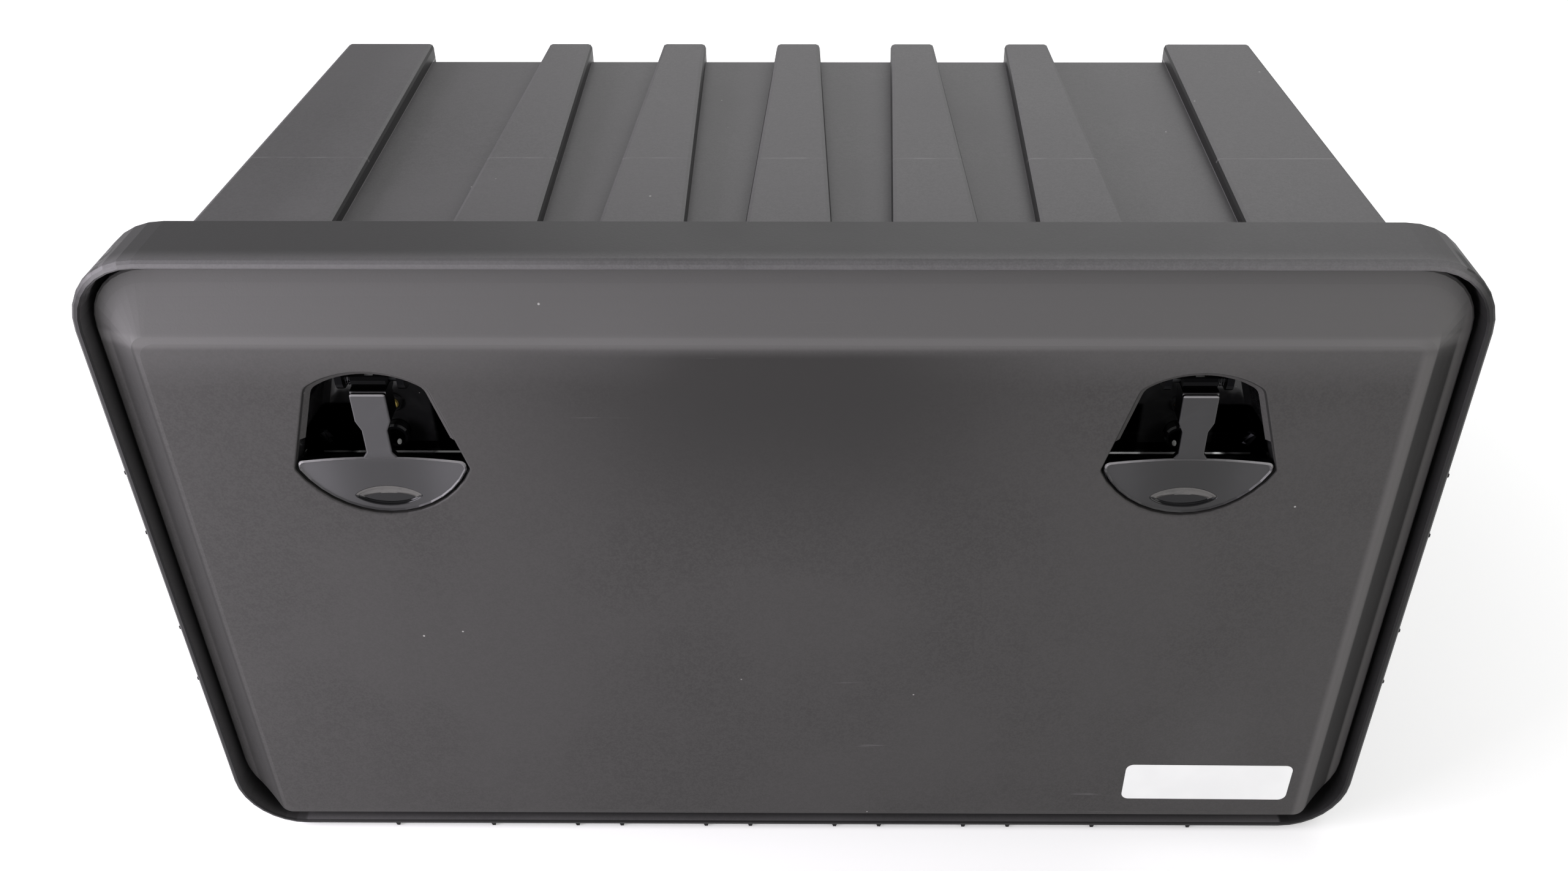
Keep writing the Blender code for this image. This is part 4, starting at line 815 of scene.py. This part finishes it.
def plated_metal(name, colour, roughness):
    """Zinc-plated or blackened steel with fine drawn lines and smudges."""
    material, tree, shader, place = start_material(name, colour, roughness, metallic=1.0)
    lines = placed_group(tree, DRAWN, place).outputs["Lines"]
    smudges = placed_group(tree, SMUDGE, place, Smudge_Size=PLATED_SMUDGE_SIZE)
    smudged = math_node(tree, "MULTIPLY", smudges.outputs["Smudges"], PLATED_SMUDGE_SHARE)
    base = layered(tree, scaled(colour, PLATED_LINE_TONE), (lines, colour),
                   (smudged, scaled(colour, PLATED_SMUDGE_TONE)))
    tree.links.new(base, shader.inputs["Base Color"])
    rough = range_node(tree, lines, *PLATED_LINE_STEP,
                       *(roughness + change for change in PLATED_ROUGH_CHANGE))
    tree.links.new(rough, shader.inputs["Roughness"])
    bump(tree, shader, lines, PLATED_STRENGTH, FINE_DEPTH)
    return material


def label_paper():
    """Blank white paper with faint clouds and fine fibres."""
    material, tree, shader, place = start_material("label_paper", PAPER_WHITE, PAPER_ROUGHNESS)
    clouds = range_node(tree, noise_node(tree, place, PAPER_CLOUD_SCALE), *PAPER_CLOUD_STEP)
    tree.links.new(mix_colour(tree, clouds, *PAPER_TONES), shader.inputs["Base Color"])
    fibre = noise_node(tree, place, PAPER_FIBRE_SCALE, detail=3.0)
    bump(tree, shader, fibre, PAPER_STRENGTH, FINE_DEPTH)
    return material


BODY_BLACK = moulded_plastic("body_black", (0.105, 0.102, 0.105), 0.52, tones=tub_tones,
                             marks=tub_marks)
DOOR_BLACK = moulded_plastic("door_black", (0.051, 0.049, 0.0485), 0.55, tones=door_tones,
                             marks=door_marks, specular=0.2)
BRACKET_BLACK = moulded_plastic("bracket_black", (0.05, 0.05, 0.051), 0.5)
SEAL_RUBBER = moulded_plastic("seal_rubber", (0.018, 0.018, 0.019), 0.72, grain_size=0.0006,
                              grain_depth=0.00004)
BOWL_BLACK = bowl_plastic()
HANDLE_BLACK = handle_plastic((0.046, 0.045, 0.048), 0.32)
NOTCH_GLOSS = notch_gloss()
BLACK_STEEL = plated_metal("black_steel", (0.035, 0.035, 0.037), 0.30)
PLUG_METAL = polished_metal("plug_metal", (0.06, 0.058, 0.055), 0.18)
BRIGHT_STEEL = polished_metal("bright_steel", (0.45, 0.45, 0.44), 0.20)
STEEL = plated_metal("zinc_steel", (0.58, 0.58, 0.57), 0.32)
YELLOW_ZINC = polished_metal("yellow_zinc", (0.98, 0.74, 0.20), 0.45, metallic=0.5)
CASTING = polished_metal("black_casting", (0.008, 0.008, 0.009), 0.15, metallic=0.0)
LABEL = label_paper()

SINGLE_FINISHES = {"body_shell": BODY_BLACK, "door_panel": DOOR_BLACK, "opening_seal": SEAL_RUBBER}
HINGE_FINISHES = {"hinge_bracket": BRACKET_BLACK, "hinge_pin": STEEL}
LATCH_FINISHES = {"latch_bowl": BOWL_BLACK, "handle": HANDLE_BLACK, "bowl_bolt": YELLOW_ZINC,
                  "hook": STEEL, "pivot_pin": BLACK_STEEL, "handle_spring": BLACK_STEEL,
                  "lock_housing": CASTING, "lock_plug": PLUG_METAL, "lock_nut": STEEL,
                  "lock_cam": STEEL, "cam_screw": STEEL, "striker": STEEL}


def dress(finishes, ending=""):
    for name, material in finishes.items():
        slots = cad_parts[name + ending].data.materials
        slots.clear()
        slots.append(material)


dress(SINGLE_FINISHES)
for place_name in ("left", "centre", "right"):
    dress(HINGE_FINISHES, "_" + place_name)
for side_name, _ in SIDES:
    dress(LATCH_FINISHES, "_" + side_name)


# Pieces of the scene

SHARP_ANGLE = radians(35)


def link_object(name, data):
    thing = bpy.data.objects.new(name, data)
    bpy.context.scene.collection.objects.link(thing)
    return thing


def mesh_of(name, shape, material):
    mesh = bpy.data.meshes.new(name)
    shape.to_mesh(mesh)
    shape.free()
    mesh.materials.append(material)
    return mesh


def add_piece(name, shape, material, body):
    bmesh.ops.recalc_face_normals(shape, faces=shape.faces)
    mesh = mesh_of(name, shape, material)
    mesh.shade_smooth()
    mesh.set_sharp_from_angle(angle=SHARP_ANGLE)
    piece = link_object(name, mesh)
    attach(piece, body)
    return piece


def ring_solid(shape, loops):
    """Joins loops of equally many points into a solid capped at both ends."""
    rows = [[shape.verts.new(point) for point in loop] for loop in loops]
    for first, second in zip(rows, rows[1:]):
        count = len(first)
        for index in range(count):
            after = (index + 1) % count
            shape.faces.new((first[index], second[index], second[after], first[after]))
    shape.faces.new(rows[0])
    shape.faces.new(list(reversed(rows[-1])))


def turn(count):
    """Equally spaced angles of one full turn."""
    return [2 * pi * step / count for step in range(count)]


# Blank label on the door

LABEL_CENTRE = (0.2771, 0.0456)
LABEL_SIZE = (0.1105, 0.0325)
LABEL_RADIUS = 0.0050
LABEL_TILT = radians(-0.4)
LABEL_STANDOFF = 0.000015
LABEL_THICKNESS = 0.00015
LABEL_CORNERS = ((1, 1), (-1, 1), (-1, -1), (1, -1))
LABEL_CORNER_STEPS = 6


def build_label():
    """Thin blank label with rounded corners, stuck to the lower right of the door."""
    half_w, half_h = (size / 2 - LABEL_RADIUS for size in LABEL_SIZE)
    outline = []
    for corner, (sx, sz) in enumerate(LABEL_CORNERS):
        for step in range(LABEL_CORNER_STEPS + 1):
            angle = pi / 2 * (corner + step / LABEL_CORNER_STEPS)
            x = sx * half_w + LABEL_RADIUS * cos(angle)
            z = sz * half_h + LABEL_RADIUS * sin(angle)
            outline.append((LABEL_CENTRE[0] + x * cos(LABEL_TILT) - z * sin(LABEL_TILT),
                            high(LABEL_CENTRE[1]) + x * sin(LABEL_TILT) + z * cos(LABEL_TILT)))
    shape = bmesh.new()
    ring_solid(shape, [[(x, FRONT - lift, z) for x, z in outline]
                       for lift in (LABEL_STANDOFF, LABEL_THICKNESS)])
    add_piece("blank_label", shape, LABEL, "door")


# Finger notches. The foot, behind the paddle's face, is given as insets of the outline with
# their depths. The dish narrows from its upper lip to its valley, and is given as shares of that
# way with their depths.

NOTCH_HEIGHT = high(0.2808)
NOTCH_HALF = 0.0195
NOTCH_RISE = 0.0072
NOTCH_SIDES = 48
NOTCH_FOOT = ((0.0020, 0.0031), (0.0006, 0.0019))
NOTCH_DISH = ((0.0, 0.0014), (0.26, 0.0017), (0.32, 0.00215), (0.85, 0.0026), (0.92, 0.0029),
              (1.0, 0.0029))
NOTCH_LIP = 0.0004
NOTCH_DROP = 0.0022
NOTCH_NARROWING = 0.0050
NOTCH_FLATTENING = 0.0040


def lens(x, z, half, rise, depth):
    """Lens outline in the plane of the door, with pointed ends at its sides."""
    return [(x + half * cos(angle), deep(depth),
             z + rise * 0.5 * (sin(angle) * abs(sin(angle)) + sin(angle)))
            for angle in turn(NOTCH_SIDES)]


def build_notches():
    """Polished dishes in the paddles: a long slope from the upper lip to a low valley."""
    for side_name, side in SIDES:
        x = side * LATCH_SPREAD
        loops = [lens(x, NOTCH_HEIGHT, NOTCH_HALF - inset, NOTCH_RISE - inset, depth)
                 for inset, depth in NOTCH_FOOT]
        loops += [lens(x, NOTCH_HEIGHT - NOTCH_DROP * share,
                       NOTCH_HALF - NOTCH_LIP - share * NOTCH_NARROWING,
                       NOTCH_RISE - NOTCH_LIP - share * NOTCH_FLATTENING, depth)
                  for share, depth in NOTCH_DISH]
        shape = bmesh.new()
        ring_solid(shape, loops)
        add_piece("notch_dish_" + side_name, shape, NOTCH_GLOSS, "handle_" + side_name)


# Keyway shutters

SHUTTER_OFFSET = LATCH_SPREAD - 0.0022
SHUTTER_DEPTH = deep(0.032 - 0.0016)
SHUTTER_HEIGHT = high(0.3010) - 0.0026
SHUTTER_HALVES = (0.0013, 0.0017)
SHUTTER_THICKNESS = 0.0004
SHUTTER_TIP = radians(-38)
SHUTTER_SIDES = 16


def build_shutters():
    """Small spring shutters that close the keyways, tipped a little upwards."""
    tip = Matrix.Rotation(SHUTTER_TIP, 3, "X")
    half_w, half_h = SHUTTER_HALVES
    for side_name, side in SIDES:
        centre = Vector((side * SHUTTER_OFFSET, SHUTTER_DEPTH, SHUTTER_HEIGHT))
        shape = bmesh.new()
        ring_solid(shape, [[centre + tip @ Vector((half_w * cos(angle), y, half_h * sin(angle)))
                            for angle in turn(SHUTTER_SIDES)]
                           for y in (-SHUTTER_THICKNESS / 2, SHUTTER_THICKNESS / 2)])
        add_piece("keyway_shutter_" + side_name, shape, BRIGHT_STEEL, "lock_" + side_name)


# Pan-head screws. The profiles of the dome and of the cross in it are shares of the radius and
# the height. Every sixth side of the cross is an arm, and the waist is its reach between them.

SCREW_RADIUS = 0.0038
SCREW_HEIGHT = 0.0022
SCREW_SIDES = 24
SCREW_PROFILE = ((1.0, 0.0), (1.0, 0.35), (0.93, 0.62), (0.78, 0.86), (0.55, 1.0))
CROSS_PROFILE = ((0.5, 1.0), (0.35, 0.45))
CROSS_WAIST = 0.45
CROSS_ARM_SIDES = 6
BRACKET_SCREW_REACH = 0.0245
BRACKET_PLATE_DEPTH = 0.0387
BOWL_SCREW_INSET = 0.006
BOWL_FLANGE = 0.0025
STRIKER_SCREW_REACH = 0.009
STRIKER_SCREW_DEPTH = deep(0.064)
STRIKER_THICKNESS = 0.002


def add_screws(name, body, seats, out, other):
    """Domed pan heads with cross recesses on the given seats, as one piece."""
    shape = bmesh.new()
    for seat in seats:
        loops = []
        for profile, waist in ((SCREW_PROFILE, 1.0), (CROSS_PROFILE, CROSS_WAIST)):
            for size, rise in profile:
                loop = []
                for index, angle in enumerate(turn(SCREW_SIDES)):
                    reach = SCREW_RADIUS * size * (1.0 if index % CROSS_ARM_SIDES == 0 else waist)
                    loop.append(Vector(seat) + Vector(out) * SCREW_HEIGHT * rise
                                + Vector((1, 0, 0)) * reach * cos(angle)
                                + Vector(other) * reach * sin(angle))
                loops.append(loop)
        ring_solid(shape, loops)
    add_piece(name, shape, STEEL, body)


def build_screws():
    """Screws of the hinge brackets, the bowls' flanges and the strikers."""
    low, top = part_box("hinge_bracket_centre")
    add_screws("hinge_screws", "box",
               [(index * HINGE_SPREAD + side * BRACKET_SCREW_REACH,
                 deep(BRACKET_PLATE_DEPTH) - GAP, (low.z + top.z) / 2)
                for index in (-1, 0, 1) for side in (-1, 1)], (0, -1, 0), (0, 0, 1))
    seats = []
    for side_name, _ in SIDES:
        low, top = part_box("latch_bowl_" + side_name)
        seats += [(x, deep(SKIN + BOWL_FLANGE) + 2 * GAP, z)
                  for x in (low.x + BOWL_SCREW_INSET, top.x - BOWL_SCREW_INSET)
                  for z in (low.z + BOWL_SCREW_INSET, top.z - BOWL_SCREW_INSET)]
    add_screws("bowl_screws", "door", seats, (0, 1, 0), (0, 0, 1))
    seats = []
    for side_name, side in SIDES:
        low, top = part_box("striker_" + side_name)
        seats += [(side * LATCH_SPREAD + offset, STRIKER_SCREW_DEPTH,
                   top.z - STRIKER_THICKNESS - GAP)
                  for offset in (-STRIKER_SCREW_REACH, STRIKER_SCREW_REACH)]
    add_screws("striker_screws", "box", seats, (0, 0, -1), (0, 1, 0))


build_label()
build_notches()
build_shutters()
build_screws()


# Studio. Each light is its name, place, target, size, power and colour.

WHITE = (1.0, 1.0, 1.0)
VIOLET_WHITE = (1.0, 0.955, 1.03)
WARM_WHITE = (1.0, 0.985, 0.96)
LIGHTS = (
    ("left_softbox", (-1.30, -0.90, 0.55), (-0.35, -0.2, 0.22), (0.7, 0.8), 14.0, VIOLET_WHITE),
    ("far_left_softbox", (-1.50, -0.40, 0.60), (-0.35, -0.2, 0.22), (0.7, 0.8), 15.0,
     VIOLET_WHITE),
    ("right_softbox", (1.30, -0.90, 0.55), (0.35, -0.2, 0.22), (0.7, 0.8), 4.7, WARM_WHITE),
    ("top_softbox", (1.00, 0.30, 1.50), (0.1, 0.0, 0.35), (1.2, 1.0), 2.6, WHITE),
    ("front_top_softbox", (0.90, -0.80, 1.60), (0.2, -0.2, 0.35), (0.9, 0.8), 3.2, WHITE),
    ("back_softbox", (0.30, 1.60, 1.15), (0.05, 0.0, 0.35), (1.8, 0.8), 5.2, WHITE),
)
AMBIENT_STRENGTH = 0.39
FLOOR_HALF = 6.0
FLOOR_DROP = 0.0005
FLOOR_GREY = (0.94, 0.94, 0.94)
FLOOR_ROUGHNESS = 0.9
FLOOR_RADII = (0.5, 1.3)
FLOOR_LIFTS = (0.30, 0.68)

# Camera of the photograph: place in metres, angles in degrees, lens in pixels
CAMERA_PLACE = (0.025302, -0.88634, 0.77128)
CAMERA_YAW = -0.348
CAMERA_PITCH = 36.418
CAMERA_ROLL = 0.079
FOCAL_PIXELS = 2347.991
IMAGE_WIDTH = 2560
IMAGE_HEIGHT = 1422
CENTRE_PIXEL = (1343.381, 813.64)
SENSOR = 36.0
CLIP_START = 0.01


def seen_directly(tree, *kinds):
    """1 for rays of the camera and of the named kinds."""
    path = tree.nodes.new("ShaderNodeLightPath")
    return largest(tree, *(path.outputs["Is %s Ray" % kind] for kind in ("Camera", *kinds)))


def build_floor():
    """White floor, lifted to pure white away from the box."""
    shape = bmesh.new()
    shape.faces.new([shape.verts.new((sx * FLOOR_HALF, sy * FLOOR_HALF, -FLOOR_DROP))
                     for sx, sy in ((-1, -1), (1, -1), (1, 1), (-1, 1))])
    material, tree, shader, place = start_material("studio_floor", FLOOR_GREY, FLOOR_ROUGHNESS,
                                                   specular=0.0)
    shader.inputs["Emission Color"].default_value = (*WHITE, 1.0)
    away = tree.nodes.new("ShaderNodeVectorMath")
    away.operation = "LENGTH"
    tree.links.new(place, away.inputs[0])
    lift = range_node(tree, away.outputs["Value"], *FLOOR_RADII, *FLOOR_LIFTS)
    lift = math_node(tree, "MULTIPLY", seen_directly(tree, "Glossy", "Transmission"), lift)
    tree.links.new(lift, shader.inputs["Emission Strength"])
    floor = link_object("studio_floor", mesh_of("studio_floor", shape, material))


def background(tree, strength):
    node = tree.nodes.new("ShaderNodeBackground")
    node.inputs["Color"].default_value = (*WHITE, 1.0)
    node.inputs["Strength"].default_value = strength
    return node.outputs[0]


def build_world():
    """Soft ambient light that the camera sees as pure white."""
    world = bpy.data.worlds.new("studio")
    bpy.context.scene.world = world
    world.use_nodes = True
    tree = world.node_tree
    tree.nodes.clear()
    mix = tree.nodes.new("ShaderNodeMixShader")
    tree.links.new(seen_directly(tree, "Transmission"), mix.inputs["Fac"])
    tree.links.new(background(tree, AMBIENT_STRENGTH), mix.inputs[1])
    tree.links.new(background(tree, 1.0), mix.inputs[2])
    output = tree.nodes.new("ShaderNodeOutputWorld")
    tree.links.new(mix.outputs[0], output.inputs["Surface"])


def area_light(name, place, target, size, power, colour):
    data = bpy.data.lights.new(name, "AREA")
    data.shape = "RECTANGLE"
    data.size, data.size_y = size
    data.energy = power
    data.color = colour
    lamp = link_object(name, data)
    lamp.location = place
    lamp.rotation_euler = (Vector(target) - Vector(place)).to_track_quat("-Z", "Y").to_euler()


def build_camera():
    yaw = radians(CAMERA_YAW)
    pitch = radians(CAMERA_PITCH)
    roll = radians(CAMERA_ROLL)
    forward = Vector((sin(yaw) * cos(pitch), cos(yaw) * cos(pitch), -sin(pitch)))
    right = Vector((cos(yaw), -sin(yaw), 0.0))
    down = forward.cross(right)
    turned_right = right * cos(roll) + down * sin(roll)
    turned_down = down * cos(roll) - right * sin(roll)
    data = bpy.data.cameras.new("camera")
    data.sensor_width = SENSOR
    data.lens = FOCAL_PIXELS / IMAGE_WIDTH * SENSOR
    data.shift_x = (IMAGE_WIDTH / 2 - CENTRE_PIXEL[0]) / IMAGE_WIDTH
    data.shift_y = (CENTRE_PIXEL[1] - IMAGE_HEIGHT / 2) / IMAGE_WIDTH
    data.clip_start = CLIP_START
    camera = link_object("camera", data)
    rows = Matrix((turned_right, -turned_down, -forward)).transposed()
    camera.matrix_world = Matrix.Translation(CAMERA_PLACE) @ rows.to_4x4()
    bpy.context.scene.camera = camera


build_floor()
build_world()
for light in LIGHTS:
    area_light(*light)
build_camera()

bpy.context.scene.view_settings.view_transform = "Standard"
